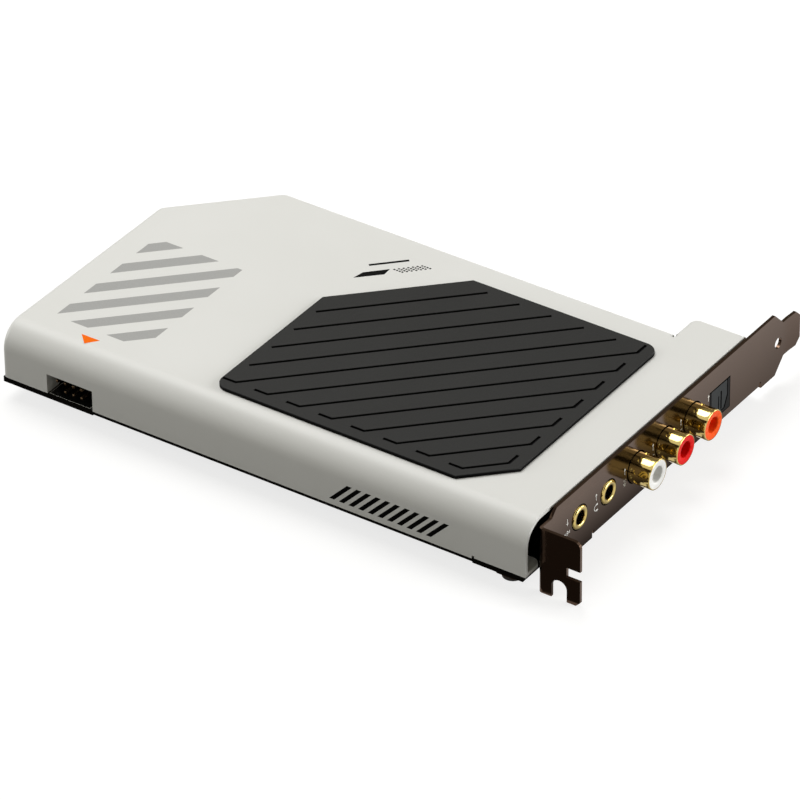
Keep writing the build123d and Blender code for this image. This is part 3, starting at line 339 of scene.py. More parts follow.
for part in frame["record"]["subparts"]:
    shown = frame["nodes"][part["node"]]
    shown.data.materials.clear()
    shown.data.materials.append(finishes[part["material_slot"]])
# The header's pins have only a flash of gold, which is duller and browner than the sockets' plating
frame["nodes"]["header_pins"].data.materials[0] = metal("gold_flash", "#5E4C38", "#77634B", 0.3, 0.45, 0.8)


# Outlines in millimetres


def disc(u, v, radius, sides=24):
    turns = [2 * math.pi * i / sides for i in range(sides)]
    return [(u + radius * math.cos(t), v + radius * math.sin(t)) for t in turns]


def arc(u, v, radius, start, end, steps=14):
    turns = [math.radians(start + (end - start) * i / steps) for i in range(steps + 1)]
    return [(u + radius * math.cos(t), v + radius * math.sin(t)) for t in turns]


def block(u0, v0, u1, v1):
    return [(u0, v0), (u1, v0), (u1, v1), (u0, v1)]


def stroke(points, width):
    """Outline of a line of even width through the points, with mitres that stay short at sharp corners."""
    left, right = [], []
    bluntest = 0.3
    for i, (u, v) in enumerate(points):
        before = Vector(points[i]) - Vector(points[i - 1]) if i else None
        after = Vector(points[i + 1]) - Vector(points[i]) if i + 1 < len(points) else None
        one = (before or after).normalized()
        two = (after or before).normalized()
        along = (one + two).normalized()
        reach = width / 2 / max(along.dot(one), bluntest)
        left.append((u - along.y * reach, v + along.x * reach))
        right.append((u + along.y * reach, v - along.x * reach))
    return left + right[::-1]


def offset(points, distance):
    """The same line, moved sideways by a distance."""
    moved = stroke(points, 2 * distance)
    return moved[:len(points)]


# Pieces


def add_piece(name, mesh, finish):
    """Put a finished mesh in the scene as a piece of the card."""
    piece = bpy.data.objects.new(name, mesh)
    mesh.materials.clear()
    mesh.materials.append(finish)
    scene.collection.objects.link(piece)
    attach(piece, "card")
    return piece


def printed(name, outlines, onto, finish):
    """Film of ink on a face: each outline becomes a thin closed plate, sunk a little into the face."""
    plates = bmesh.new()
    for outline in outlines:
        low = [plates.verts.new(onto(u, v, -INK_SUNK)) for u, v in outline]
        high = [plates.verts.new(onto(u, v, INK_PROUD)) for u, v in outline]
        plates.faces.new(low[::-1])
        plates.faces.new(high)
        for i in range(len(outline)):
            j = (i + 1) % len(outline)
            plates.faces.new((low[i], low[j], high[j], high[i]))
    plates.normal_update()
    bmesh.ops.triangulate(plates, faces=[f for f in plates.faces if len(f.verts) > 4])
    bmesh.ops.recalc_face_normals(plates, faces=plates.faces)
    mesh = bpy.data.meshes.new(name)
    plates.to_mesh(mesh)
    plates.free()
    return add_piece(name, mesh, finish)


def kept_mesh(carrier, modifier, name):
    """Result of an object's modifier as a plain mesh; the object and the modifier are taken away."""
    mesh = bpy.data.meshes.new_from_object(carrier.evaluated_get(bpy.context.evaluated_depsgraph_get()))
    mesh.name = name
    carrier.modifiers.remove(modifier)
    bpy.data.objects.remove(carrier)
    return mesh


def smoothed(name, slot, crease):
    """Merged copy of a CAD node, shaded smooth up to its creases, with the flat faces kept flat."""
    touching = 1e-6
    form = bmesh.new()
    form.from_mesh(frame["nodes"][name].data)
    bmesh.ops.remove_doubles(form, verts=form.verts, dist=touching)
    for face in form.faces:
        face.smooth = True
    for edge in form.edges:
        edge.smooth = edge.is_manifold and edge.calc_face_angle() < math.radians(crease)
    merged = bpy.data.meshes.new(name + "_merged")
    form.to_mesh(merged)
    form.free()
    carrier = bpy.data.objects.new(name + "_merged", merged)
    scene.collection.objects.link(carrier)
    modifier = carrier.modifiers.new("weigh", "WEIGHTED_NORMAL")
    modifier.keep_sharp = True
    mesh = kept_mesh(carrier, modifier, name + "_smooth")
    piece = add_piece(name + "_smooth", mesh, finishes[slot])
    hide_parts(name)


def geometry_tree(name, sizes):
    """Empty geometry tree with a named input for each size; returns the tree and its inputs."""
    tree = bpy.data.node_groups.new(name, "GeometryNodeTree")
    tree.interface.new_socket("Geometry", in_out="OUTPUT", socket_type="NodeSocketGeometry")
    tree.interface.new_socket("Geometry", in_out="INPUT", socket_type="NodeSocketGeometry")
    for label, kind in sizes.items():
        tree.interface.new_socket(label, in_out="INPUT", socket_type=f"NodeSocket{kind}")
    tree.interface.new_socket("Material", in_out="INPUT", socket_type="NodeSocketMaterial")
    return tree, node(tree, "NodeGroupInput").outputs


def close_tree(tree, made, given):
    """Make the instances real, give them their material, and end the tree."""
    real = node(tree, "GeometryNodeRealizeInstances", {"Geometry": made})
    dressed = node(tree, "GeometryNodeSetMaterial", {
        "Geometry": real.outputs[0], "Material": given["Material"]})
    node(tree, "NodeGroupOutput", {"Geometry": dressed.outputs[0]})
    return tree


def grow(name, tree, finish, sizes, points=(), turn=None):
    """Run a geometry tree with these sizes, in metres, and keep its result as a plain mesh."""
    seeds = bpy.data.meshes.new(name + "_places")
    seeds.from_pydata([tuple(p) for p in points], [], [])
    carrier = bpy.data.objects.new(name + "_places", seeds)
    scene.collection.objects.link(carrier)
    modifier = carrier.modifiers.new("grow", "NODES")
    modifier.node_group = tree
    for item in tree.interface.items_tree:
        if item.in_out == "INPUT" and item.name in sizes:
            modifier[item.identifier] = sizes[item.name]
        if item.in_out == "INPUT" and item.name == "Material":
            modifier[item.identifier] = finish
    carrier.update_tag()
    bpy.context.view_layer.update()
    mesh = kept_mesh(carrier, modifier, name)
    if turn:
        mesh.transform(turn)
    return add_piece(name, mesh, finish)


def slanted_bars():
    """Evenly spaced bars at a slant, trimmed to a box."""
    tree, given = geometry_tree("slanted_bars", {
        "Count": "Int", "First": "Vector", "Step": "Vector", "Bar": "Vector", "Slant": "Vector",
        "Box Middle": "Vector", "Box Size": "Vector"})
    row = node(tree, "GeometryNodeMeshLine", {
        "Count": given["Count"], "Start Location": given["First"], "Offset": given["Step"]})
    bar = node(tree, "GeometryNodeMeshCube", {"Size": given["Bar"]})
    laid = node(tree, "GeometryNodeInstanceOnPoints", {
        "Points": row.outputs[0], "Instance": bar.outputs[0], "Rotation": given["Slant"]})
    real = node(tree, "GeometryNodeRealizeInstances", {"Geometry": laid.outputs[0]})
    box = node(tree, "GeometryNodeMeshCube", {"Size": given["Box Size"]})
    placed = node(tree, "GeometryNodeTransform", {
        "Geometry": box.outputs[0], "Translation": given["Box Middle"]})
    trimmed = node(tree, "GeometryNodeMeshBoolean", operation="INTERSECT")
    for solid in (real, placed):
        tree.links.new(solid.outputs[0], trimmed.inputs["Mesh 2"])
    return close_tree(tree, trimmed.outputs[0], given)


def dash_field():
    """Rows of short dashes that fill a slanted four-sided field."""
    tree, given = geometry_tree("dash_field", {
        "Columns": "Int", "Rows": "Int", "Along": "Vector", "Across": "Vector", "Dash": "Vector"})
    grid = node(tree, "GeometryNodeMeshGrid", {
        "Size X": 1.0, "Size Y": 1.0, "Vertices X": given["Columns"], "Vertices Y": given["Rows"]})
    where = node(tree, "ShaderNodeSeparateXYZ", {0: node(tree, "GeometryNodeInputPosition").outputs[0]})
    along, across = [
        node(tree, "ShaderNodeVectorMath", {0: given[way], "Scale": where.outputs[axis]}, operation="SCALE")
        for way, axis in (("Along", X), ("Across", Y))]
    both = node(tree, "ShaderNodeVectorMath", {0: along.outputs[0], 1: across.outputs[0]}, operation="ADD")
    moved = node(tree, "GeometryNodeSetPosition", {"Geometry": grid.outputs[0], "Position": both.outputs[0]})
    dash = node(tree, "GeometryNodeMeshCube", {"Size": given["Dash"]})
    laid = node(tree, "GeometryNodeInstanceOnPoints", {
        "Points": moved.outputs[0], "Instance": dash.outputs[0]})
    return close_tree(tree, laid.outputs[0], given)


def pan_head_screws():
    """Pan-head screws with a cross recess, heads down, one at each point of their seats."""
    tree, given = geometry_tree("pan_head_screws", {
        "Head Radius": "Float", "Head Height": "Float", "Dome Radius": "Float", "Dome Middle": "Vector",
        "Recess Long": "Vector", "Recess Wide": "Vector", "Recess Middle": "Vector",
        "Shank Radius": "Float", "Shank Length": "Float", "Head Middle": "Vector", "Shank Middle": "Vector"})
    drum = node(tree, "GeometryNodeMeshCylinder", {
        "Vertices": 48, "Radius": given["Head Radius"], "Depth": given["Head Height"]})
    ball = node(tree, "GeometryNodeMeshUVSphere", {
        "Segments": 64, "Rings": 64, "Radius": given["Dome Radius"]})
    slot_one = node(tree, "GeometryNodeMeshCube", {"Size": given["Recess Long"]})
    slot_two = node(tree, "GeometryNodeMeshCube", {"Size": given["Recess Wide"]})
    rod = node(tree, "GeometryNodeMeshCylinder", {
        "Vertices": 24, "Radius": given["Shank Radius"], "Depth": given["Shank Length"]})
    head, dome, one, two, shank = [
        node(tree, "GeometryNodeTransform", {"Geometry": solid.outputs[0], "Translation": given[middle]})
        for solid, middle in (
            (drum, "Head Middle"), (ball, "Dome Middle"), (slot_one, "Recess Middle"),
            (slot_two, "Recess Middle"), (rod, "Shank Middle"))]
    domed = node(tree, "GeometryNodeMeshBoolean", operation="INTERSECT")
    for solid in (head, dome):
        tree.links.new(solid.outputs[0], domed.inputs["Mesh 2"])
    driven = node(tree, "GeometryNodeMeshBoolean", {"Mesh 1": domed.outputs[0]}, operation="DIFFERENCE")
    for solid in (one, two):
        tree.links.new(solid.outputs[0], driven.inputs["Mesh 2"])
    screw = node(tree, "GeometryNodeJoinGeometry")
    for solid in (driven, shank):
        tree.links.new(solid.outputs[0], screw.inputs[0])
    laid = node(tree, "GeometryNodeInstanceOnPoints", {
        "Points": given["Geometry"], "Instance": screw.outputs[0]})
    return close_tree(tree, laid.outputs[0], given)


def solder_joints():
    """Small cones of solder, wide end up, one under each point."""
    tree, given = geometry_tree("solder_joints", {"Foot": "Float", "Tip": "Float", "Height": "Float"})
    cone = node(tree, "GeometryNodeMeshCone", {
        "Vertices": 16, "Side Segments": 3,
        "Radius Top": given["Tip"], "Radius Bottom": given["Foot"], "Depth": given["Height"]})
    over = node(tree, "GeometryNodeTransform", {
        "Geometry": cone.outputs[0], "Rotation": (math.pi, 0.0, 0.0)})
    laid = node(tree, "GeometryNodeInstanceOnPoints", {
        "Points": given["Geometry"], "Instance": over.outputs[0]})
    return close_tree(tree, laid.outputs[0], given)


def scattered_vias():
    """Plated via caps, scattered by a fixed seed over a rectangle."""
    tree, given = geometry_tree("scattered_vias", {
        "Length": "Float", "Width": "Float", "Spacing": "Float", "Density": "Float",
        "Seed": "Int", "Radius": "Float", "Thickness": "Float"})
    field = node(tree, "GeometryNodeMeshGrid", {
        "Size X": given["Length"], "Size Y": given["Width"], "Vertices X": 2, "Vertices Y": 2})
    spread = node(tree, "GeometryNodeDistributePointsOnFaces", {
        "Mesh": field.outputs[0], "Distance Min": given["Spacing"],
        "Density Max": given["Density"], "Seed": given["Seed"]}, distribute_method="POISSON")
    cap = node(tree, "GeometryNodeMeshCylinder", {
        "Vertices": 10, "Radius": given["Radius"], "Depth": given["Thickness"]})
    laid = node(tree, "GeometryNodeInstanceOnPoints", {
        "Points": spread.outputs[0], "Instance": cap.outputs[0]})
    return close_tree(tree, laid.outputs[0], given)


# Curved nodes of the CAD model

CREASE, SHEET_CREASE = 50, 30
SMOOTH_NODES = ("cover", "top_pad", "bracket")
SMOOTH_ENDINGS = ("_shell", "_insulator", "_ferrule")
for part in frame["record"]["subparts"]:
    name = part["node"]
    if name in SMOOTH_NODES or name.endswith(SMOOTH_ENDINGS):
        smoothed(name, part["material_slot"], SHEET_CREASE if name == "bracket" else CREASE)

# Prints on the cover

FILM, TRIM_DEEP = 2 * INK_PROUD, 1
bars = slanted_bars()
# The first grey stripe's middle line runs where x is y less STRIPE_FIRST, and the others follow along x
STRIPE_COUNT, STRIPE_LONG, STRIPE_SLANT = 6, 150, 45
STRIPE_LOW, STRIPE_HIGH = (-152.2, 7.6), (-124.85, 51.0)
STRIPE_FIRST, STRIPE_PITCH, STRIPE_WIDTH = 197.2, 11.26, 5.4
stripe_middle = [(a + b) / 2 for a, b in zip(STRIPE_LOW, STRIPE_HIGH)]
stripe_size = [b - a for a, b in zip(STRIPE_LOW, STRIPE_HIGH)]
grow("cover_stripes", bars, grey_ink, {
    "Count": STRIPE_COUNT,
    "First": on_cover(stripe_middle[1] - STRIPE_FIRST, stripe_middle[1], 0),
    "Step": metres(STRIPE_PITCH, 0, 0),
    "Bar": metres(STRIPE_LONG, STRIPE_WIDTH / math.sqrt(2), FILM),
    "Slant": (0, 0, math.radians(STRIPE_SLANT)),
    "Box Middle": on_cover(*stripe_middle, 0),
    "Box Size": metres(*stripe_size, TRIM_DEEP)})

BAR_COUNT, BAR_LONG, BAR_FIELD = 11, 20, 60
BAR_FIRST, BAR_PITCH, BAR_WIDTH = -59.5, 2.876, 1.5
BAR_LOW, BAR_HIGH, BAR_LEAN = 4.95, 10.55, 5.4
lean = math.atan2(BAR_HIGH - BAR_LOW, BAR_LEAN)
bar_middle = BAR_FIRST + BAR_WIDTH / 2 + BAR_LEAN / 2
bar_up = (BAR_LOW + BAR_HIGH) / 2
grow("near_wall_bars", bars, black_ink, {
    "Count": BAR_COUNT,
    "First": on_near_wall(bar_middle, bar_up, 0),
    "Step": metres(BAR_PITCH, 0, 0),
    "Bar": metres(BAR_LONG, FILM, BAR_WIDTH * math.sin(lean)),
    "Slant": (0, -lean, 0),
    "Box Middle": on_near_wall(bar_middle + (BAR_COUNT - 1) / 2 * BAR_PITCH, bar_up, 0),
    "Box Size": metres(BAR_FIELD, TRIM_DEEP, BAR_HIGH - BAR_LOW)})

ARROW = [(-141.48, 4.50), (-138.34, 1.39), (-135.73, 4.54)]
LOZENGE = [(-99.12, 63.67), (-93.37, 69.34), (-93.57, 72.25), (-98.49, 67.12)]
SLASH, SLASH_WIDTH = [(-99.14, 70.81), (-91.75, 78.31)], 0.85
printed("cover_arrow", [ARROW], on_cover, orange_ink)
printed("cover_lozenge", [LOZENGE, stroke(SLASH, SLASH_WIDTH)], on_cover, black_ink)

# A block of fine dashes, drawn coarse enough to show
DASHES_MIDDLE = (-88.8, 75.4)
grow("cover_dashes", dash_field(), black_ink, {
    "Columns": 7, "Rows": 4, "Along": metres(5.0, 5.3, 0), "Across": metres(2.4, 0.1, 0),
    "Dash": metres(0.54, 0.52, FILM)}, turn=Matrix.Translation(on_cover(*DASHES_MIDDLE, 0)))

# Painted shade: a thin black film on the bracket round each socket, for the gap in its hole, which is real
# but narrower, and along the left and top edges of the optical window, where its recess lies in shade

BARREL, FERRULE, GAP = 4.15, 3.25, 0.3
WINDOW_HALF, WINDOW_LOW, WINDOW_HIGH, WINDOW_GAP = 4.9, 2.95, 12.35, 0.4
ALMOST_ROUND, ROUND_STEPS = 359, 48
gaps = [
    stroke(arc(y, SOCKET_UP, radius + GAP / 2, 0, ALMOST_ROUND, ROUND_STEPS), GAP)
    for y, radius in zip(SOCKETS, (FERRULE, FERRULE, BARREL, BARREL, BARREL))]
near = SOCKETS[5] - WINDOW_HALF + WINDOW_GAP / 2
far = SOCKETS[5] + WINDOW_HALF
high = WINDOW_HIGH - WINDOW_GAP / 2
gaps.append(stroke([(near, WINDOW_LOW), (near, high), (far, high)], WINDOW_GAP))
printed("socket_gap_shade", gaps, on_bracket, gap_shade_film)

# White signs beside the sockets on the bracket, with their tops towards the tab

SIGN_BACK, SIGN_ASIDE = 5.4, 1.6
THIN, LINE = 0.18, 0.2


def sign(y, z, outlines):
    """Outlines drawn upright, turned and moved to a place on the bracket."""
    return [[(y - v, z + u) for u, v in outline] for outline in outlines]


microphone = [
    stroke([(0, 0.25), (0, 0.95)], 0.62), disc(0, 0.95, 0.31), disc(0, 0.25, 0.31),
    stroke(arc(0, 0.3, 0.62, 180, 360), THIN), stroke([(0, -0.3), (0, -0.9)], THIN),
    block(-0.45, -1.05, 0.45, -0.85)]
headphones = [
    stroke(arc(0, 0, 0.85, 0, 180), LINE), block(-1.1, -0.75, -0.6, 0.05), block(0.6, -0.75, 1.1, 0.05)]
loudspeaker = [
    block(-1.1, -0.35, -0.7, 0.35), [(-0.7, -0.35), (-0.2, -0.85), (-0.2, 0.85), (-0.7, 0.35)],
    stroke(arc(-0.2, 0, 0.55, -45, 45), THIN), stroke(arc(-0.2, 0, 1.0, -45, 45), THIN)]
pulses = [stroke([
    (-1.2, -0.5), (-0.8, -0.5), (-0.8, 0.5), (-0.2, 0.5), (-0.2, -0.5),
    (0.4, -0.5), (0.4, 0.5), (1.0, 0.5), (1.0, -0.5), (1.3, -0.5)], LINE)]
lamp = [disc(-0.6, 0, 0.4)] + [
    stroke([(-0.6 + reach * math.cos(t), reach * math.sin(t)) for reach in (0.65, 1.3)], THIN)
    for t in (-0.7, 0.0, 0.7)]
arrow_in = [stroke([(1.0, 0), (-0.4, 0)], LINE), [(-0.3, -0.45), (-0.3, 0.45), (-1.0, 0)]]
arrow_out = [stroke([(-1.0, 0), (0.4, 0)], LINE), [(0.3, 0.45), (0.3, -0.45), (1.0, 0)]]
pictures = (microphone, headphones, loudspeaker, loudspeaker, pulses, lamp)
arrows = (arrow_in, *[arrow_out] * 5)
signs = []
for y, picture, arrow in zip(SOCKETS, pictures, arrows):
    signs += sign(y - SIGN_BACK, SOCKET_UP - SIGN_ASIDE, picture)
    signs += sign(y - SIGN_BACK, SOCKET_UP + SIGN_ASIDE, arrow)
printed("socket_signs", signs, on_bracket, white_ink)

# Screws

SCREW_HEAD, SCREW_HIGH, SCREW_RIM = 2.75, 1.5, 0.95
RECESS_LONG, RECESS_WIDE, RECESS_TALL, RECESS_DOWN = 3.1, 0.7, 2.0, 1.6
SHANK_RADIUS, FOOT_SHANK, COVER_SHANK = 1.22, 4.0, 3.1
FOOT_UNDER = 1.14
FOOT_SCREWS = [(-7.9, -0.15), (-7.9, 92.45)]
COVER_SCREWS = [(-153.5, 1.3), (-129.0, 83.35)]
dome = (SCREW_HEAD ** 2 + (SCREW_HIGH - SCREW_RIM) ** 2) / (2 * (SCREW_HIGH - SCREW_RIM))
screw_sizes = {
    "Head Radius": SCREW_HEAD * MM, "Head Height": SCREW_HIGH * MM, "Dome Radius": dome * MM,
    "Head Middle": metres(0, 0, -SCREW_HIGH / 2), "Dome Middle": metres(0, 0, dome - SCREW_HIGH),
    "Recess Long": metres(RECESS_LONG, RECESS_WIDE, RECESS_TALL),
    "Recess Wide": metres(RECESS_WIDE, RECESS_LONG, RECESS_TALL),
    "Recess Middle": metres(0, 0, -RECESS_DOWN), "Shank Radius": SHANK_RADIUS * MM}
screws = pan_head_screws()


def screw_set(name, places, seat, shank):
    """Screws of one length, with their heads under a seat."""
    sizes = {**screw_sizes, "Shank Length": shank * MM, "Shank Middle": metres(0, 0, shank / 2)}
    seats = [at(x, y, seat) for x, y in places]
    return grow(name, screws, finishes["bare_steel"], sizes, points=seats)


bracket_screws = screw_set("bracket_screw_set", FOOT_SCREWS, FOOT_UNDER, FOOT_SHANK)
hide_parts("bracket_screws")
cover_screws = screw_set("cover_screw_set", COVER_SCREWS, BOARD_UNDER, COVER_SHANK)
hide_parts("cover_screws")

# Solder side of the board

# Tails come through the board at these places, some of them as pairs spread along y
PIN_PITCH = 2.54
JACK_TAILS, JACK_SPREAD = -13.01, 1.6
PHONO_TAILS = (-6.31, -13.16)
OPTICAL_TAILS = -13.0
HEADER_X = [-143.58 + PIN_PITCH * i for i in range(4)]
HEADER_FULL_ROW, HEADER_SHORT_ROW = 11.04, 8.5
FILTER_X, FILTER_Y, FILTER_SPREAD = [-40 - 10 * i for i in range(4)], 66, 1.75
SUPPLY_X, SUPPLY_Y, SUPPLY_SPREAD = [-64 - 10 * i for i in range(2)], 56, 1.25
RELAY_X, RELAY_Y = -24, (22, 33)
RELAY_PINS = (-1.5 * PIN_PITCH, -0.5 * PIN_PITCH, 1.5 * PIN_PITCH)
tails = [(JACK_TAILS, y + side) for y in SOCKETS[:2] for side in (-JACK_SPREAD, JACK_SPREAD)]
tails += [(x, y) for y in SOCKETS[2:5] for x in PHONO_TAILS]
tails += [(OPTICAL_TAILS, SOCKETS[5] + side) for side in (-PIN_PITCH, 0, PIN_PITCH)]
tails += [(x, HEADER_FULL_ROW) for x in HEADER_X] + [(x, HEADER_SHORT_ROW) for x in HEADER_X[1:]]
tails += [(x, FILTER_Y + side) for x in FILTER_X for side in (-FILTER_SPREAD, FILTER_SPREAD)]
tails += [(x, SUPPLY_Y + side) for x in SUPPLY_X for side in (-SUPPLY_SPREAD, SUPPLY_SPREAD)]
tails += [
    (RELAY_X + pin, y + side) for y in RELAY_Y for pin in RELAY_PINS for side in (-PIN_PITCH, PIN_PITCH)]
JOINT_FOOT, JOINT_TIP, JOINT_HIGH = 1.05, 0.4, 0.85
grow("solder_joints", solder_joints(), solder, {
    "Foot": JOINT_FOOT * MM, "Tip": JOINT_TIP * MM, "Height": JOINT_HIGH * MM},
    points=[under_board(x, y, 0) for x, y in tails])

# Fields of via caps: middle, length and width
VIA_FIELDS = [(-86, 54, 30, 26), (-58, 76, 34, 16), (-52, 32, 26, 30), (-98, 30, 22, 30), (-30, 44, 16, 60)]
VIA_SPACING, VIA_RADIUS, VIA_THICKNESS, VIA_SEED = 4.2, 0.28, 0.06, 11
VIAS_PER_SQUARE_METRE = 60000.0
vias = scattered_vias()
for i, (x, y, long, wide) in enumerate(VIA_FIELDS):
    grow(f"via_caps_{i + 1}", vias, solder, {
        "Length": long * MM, "Width": wide * MM, "Spacing": VIA_SPACING * MM,
        "Density": VIAS_PER_SQUARE_METRE, "Seed": VIA_SEED + i,
        "Radius": VIA_RADIUS * MM, "Thickness": VIA_THICKNESS * MM},
        turn=Matrix.Translation(under_board(x, y, 0)))

# Bundles of traces: the bundle's middle line and its number of traces
TRACE_WIDTH, TRACE_STEP = 0.35, 0.85
runs = [
    ([(-46.5, 99.0), (-46.5, 93.0), (-56, 83.5), (-56, 79.0)], 6),
    ([(-60.5, 99.0), (-60.5, 92.0), (-64, 88.5), (-64, 80.0)], 4),
    ([(-68, 76.5), (-75.5, 76.5), (-84, 68.0), (-84, 63.5)], 7),
    ([(-84, 45.0), (-84, 39.0), (-76, 31.0), (-62, 31.0)], 8),
    ([(-96, 55.0), (-118, 55.0), (-134, 39.0), (-134, 15.0)], 6),
    ([(-48, 43.0), (-42, 43.0), (-34, 51.0), (-34, 60.0), (-28, 66.0), (-17, 66.0)], 4),
    ([(-46, 23.0), (-38, 23.0), (-33, 18.0), (-17, 18.0)], 4),
    ([(-92, 47.0), (-110, 29.0), (-110, 13.0), (-117, 6.0), (-130, 6.0)], 3),
    ([(-122, 60.0), (-140, 60.0), (-150, 50.0), (-150, 22.0)], 2)]
traces = []
for path, count in runs:
    for k in range(count):
        aside = (k - (count - 1) / 2) * TRACE_STEP
        traces.append(stroke(offset(path, aside), TRACE_WIDTH))
printed("solder_side_traces", traces, under_board, masked_copper)

# Printed frames round the chips' places, each with a dot at its first pin
CHIP_FRAMES = [
    (-94, 46, -78, 62), (-66, 72, -54, 84), (-57, 42, -47, 50),
    (-55, 16, -45, 24), (-104, 62, -97, 70), (-92, 24, -84, 32)]
FRAME_LINE, FRAME_GAP, DOT_ASIDE, DOT_RADIUS = 0.18, 0.2, 1.0, 0.4
footprints = []
for u0, v0, u1, v1 in CHIP_FRAMES:
    footprints.append(stroke([*block(u0, v0, u1, v1), (u0, v0 + FRAME_GAP)], FRAME_LINE))
    footprints.append(disc(u0 - DOT_ASIDE, v0 + DOT_ASIDE, DOT_RADIUS))
printed("solder_side_outlines", footprints, under_board, white_ink)

HEADER_FRAME, HEADER_LINE = [(-145.9, 6.5), (-145.9, -3.95), (-133.3, -3.95), (-133.3, 6.5)], 0.13
printed("header_outline", [stroke(HEADER_FRAME, HEADER_LINE)], on_board, white_ink)

# Floor, light and camera, in metres


def quad(name, corners, coat):
    """Four-sided sheet of the studio, which is no part of the card."""
    mesh = bpy.data.meshes.new(name)
    mesh.from_pydata(corners, [], [(0, 1, 2, 3)])
    mesh.materials.append(coat)
    sheet = bpy.data.objects.new(name, mesh)
    scene.collection.objects.link(sheet)
    return sheet


def seen_in_picture(tree):
    """One for rays that the picture shows, straight or in a reflection, and zero for the others."""
    path = node(tree, "ShaderNodeLightPath").outputs
    seen = path["Is Camera Ray"]
    for ray in ("Is Glossy Ray", "Is Transmission Ray"):
        seen = node(tree, "ShaderNodeMath", {0: seen, 1: path[ray]}, operation="MAXIMUM").outputs[0]
    return seen


FLOOR_REACH = 4
pale = bpy.data.materials.new("pale_floor")
tree = bare_tree(pale)
lit = node(tree, "ShaderNodeBsdfDiffuse", {"Color": linear("#9B9B9B")})
glow = node(tree, "ShaderNodeEmission", {"Color": linear("#FFFFFF"), "Strength": 0.75})
white = node(tree, "ShaderNodeAddShader", {0: lit.outputs[0], 1: glow.outputs[0]})
dim = node(tree, "ShaderNodeBsdfDiffuse", {"Color": linear("#8C8C8C")})
both = node(tree, "ShaderNodeMixShader", {
    0: seen_in_picture(tree), 1: dim.outputs[0], 2: white.outputs[0]})
node(tree, "ShaderNodeOutputMaterial", {"Surface": both.outputs[0]})
quad("floor", [(u, v, 0) for u, v in block(-FLOOR_REACH, -FLOOR_REACH, FLOOR_REACH, FLOOR_REACH)], pale)

world = bpy.data.worlds.new("studio")
scene.world = world
tree = bare_tree(world)
room = node(tree, "ShaderNodeBackground", {"Color": linear("#FFFBE4"), "Strength": 0.2})
backdrop = node(tree, "ShaderNodeBackground", {"Color": linear("#FFFFFF"), "Strength": 1.0})
both = node(tree, "ShaderNodeMixShader", {
    0: seen_in_picture(tree), 1: room.outputs[0], 2: backdrop.outputs[0]})
node(tree, "ShaderNodeOutputWorld", {"Surface": both.outputs[0]})


def softbox(name, place, aim, size, power):
    """Square studio light of so many watts, turned towards a point."""
    light = bpy.data.lights.new(name, "AREA")
    light.size = size
    light.energy = power
    held = bpy.data.objects.new(name, light)
    held.location = place
    held.rotation_mode = "QUATERNION"
    held.rotation_quaternion = (Vector(aim) - Vector(place)).to_track_quat("-Z", "Y")
    scene.collection.objects.link(held)


softbox("top_softbox", (-0.58, 0.28, 1.27), (0, 0, 0), 0.85, 12.4)
softbox("right_softbox", (1.3, 0.55, 0.35), (0.07, 0, 0.01), 0.8, 15)
softbox("rim_softbox", (0.787, 1.29, 0.287), (0.08, 0, 0.012), 0.6, 6.8)
softbox("left_softbox", (-1.4, -0.9, 0.6), (0, 0, 0), 0.8, 8.6)


def dark_card(name, shade, corners, fade=None):
    """Card that only reflections see: it gives plated metal dark bands, and may fade to white along x."""
    matt = bpy.data.materials.new(name)
    tree = bare_tree(matt)
    dusk = node(tree, "ShaderNodeEmission", {"Color": linear(shade), "Strength": 1.0})
    if fade:
        start, end = fade
        along = node(tree, "ShaderNodeSeparateXYZ", {0: node(tree, "ShaderNodeTexCoord").outputs["Object"]})
        share = node(tree, "ShaderNodeMapRange", {
            "Value": along.outputs[X], "From Min": start, "From Max": end})
        tone = node(tree, "ShaderNodeMix", {
            SHARE: share.outputs[0], ONE: linear(shade), TWO: linear("#FFFFFF")}, data_type="RGBA")
        tree.links.new(tone.outputs[MIXED], dusk.inputs["Color"])
    node(tree, "ShaderNodeOutputMaterial", {"Surface": dusk.outputs[0]})
    card = quad(name, corners, matt)
    card.visible_camera = False
    card.visible_diffuse = False
    card.visible_transmission = False
    card.visible_shadow = False


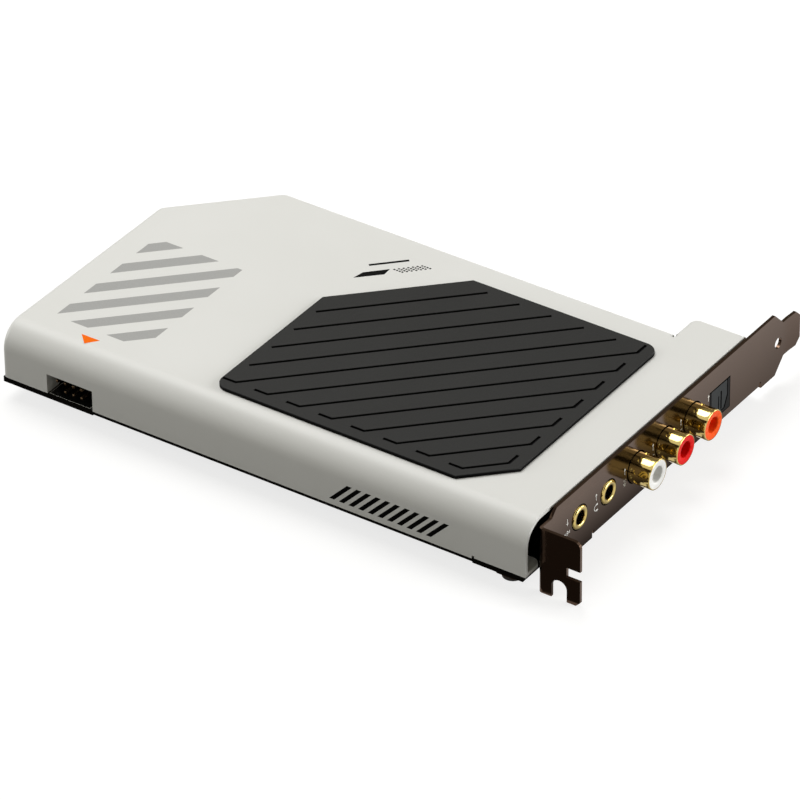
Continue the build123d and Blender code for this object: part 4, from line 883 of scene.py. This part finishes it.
def lying(x0, x1, y0, y1):
    card_lift = 0.0004
    return [(u, v, card_lift) for u, v in block(x0, y0, x1, y1)]


def facing_y(y, x0, x1, z0, z1):
    return [(u, y, v) for u, v in block(x0, z0, x1, z1)]


def facing_x(x, y0, y1, z0, z1):
    return [(x, u, v) for u, v in block(y0, z0, y1, z1)]


# Three cards lie on the floor before the near wall, the sockets and the tongue, and three stand further off
NEAR_END, WINDOW_START, FAR_END = -0.0584, 0.0248, 0.0900
STRIP_FOOT, SOCKET_FADE, TONGUE_FADE = 0.0748, 0.0885, 0.0900
dark_card("floor_card", "#4A4540", lying(-0.4, 0.13, -0.6, NEAR_END))
dark_card("socket_floor_card", "#45423F",
    lying(STRIP_FOOT, SOCKET_FADE, NEAR_END, WINDOW_START), (STRIP_FOOT, SOCKET_FADE))
dark_card("tongue_floor_card", "#C0BDB9",
    lying(STRIP_FOOT, TONGUE_FADE, WINDOW_START, FAR_END), (STRIP_FOOT, TONGUE_FADE))
dark_card("front_card", "#3A3228", facing_y(-0.9, -1.3, 0.1, 0.2, 1.1))
dark_card("right_card", "#2A241C", facing_x(0.8, -1.2, 0.75, 0.4, 1.5))
dark_card("back_card", "#8E897E", facing_y(1.0, -1.7, 0.5, 0.15, 1.4))

# The camera stands where the bracket's corners fall as they do in the photograph
AZIMUTH, ELEVATION = math.radians(34.686), math.radians(34.151)
CAMERA_PLACE = (0.76066, -1.10838, 0.90779)
CAMERA_RIGHT = (0.82578, 0.56392, -0.00919)
lens = bpy.data.cameras.new("camera")
lens.sensor_width = 36
lens.lens = 286.37
lens.clip_start, lens.clip_end = 0.05, 50
camera = bpy.data.objects.new("camera", lens)
right = Vector(CAMERA_RIGHT).normalized()
level = math.cos(ELEVATION)
back = Vector((math.sin(AZIMUTH) * level, -math.cos(AZIMUTH) * level, math.sin(ELEVATION)))
up = back.cross(right).normalized()
camera.matrix_world = Matrix.Translation(CAMERA_PLACE) @ Matrix((right, up, back)).transposed().to_4x4()
scene.collection.objects.link(camera)
scene.camera = camera
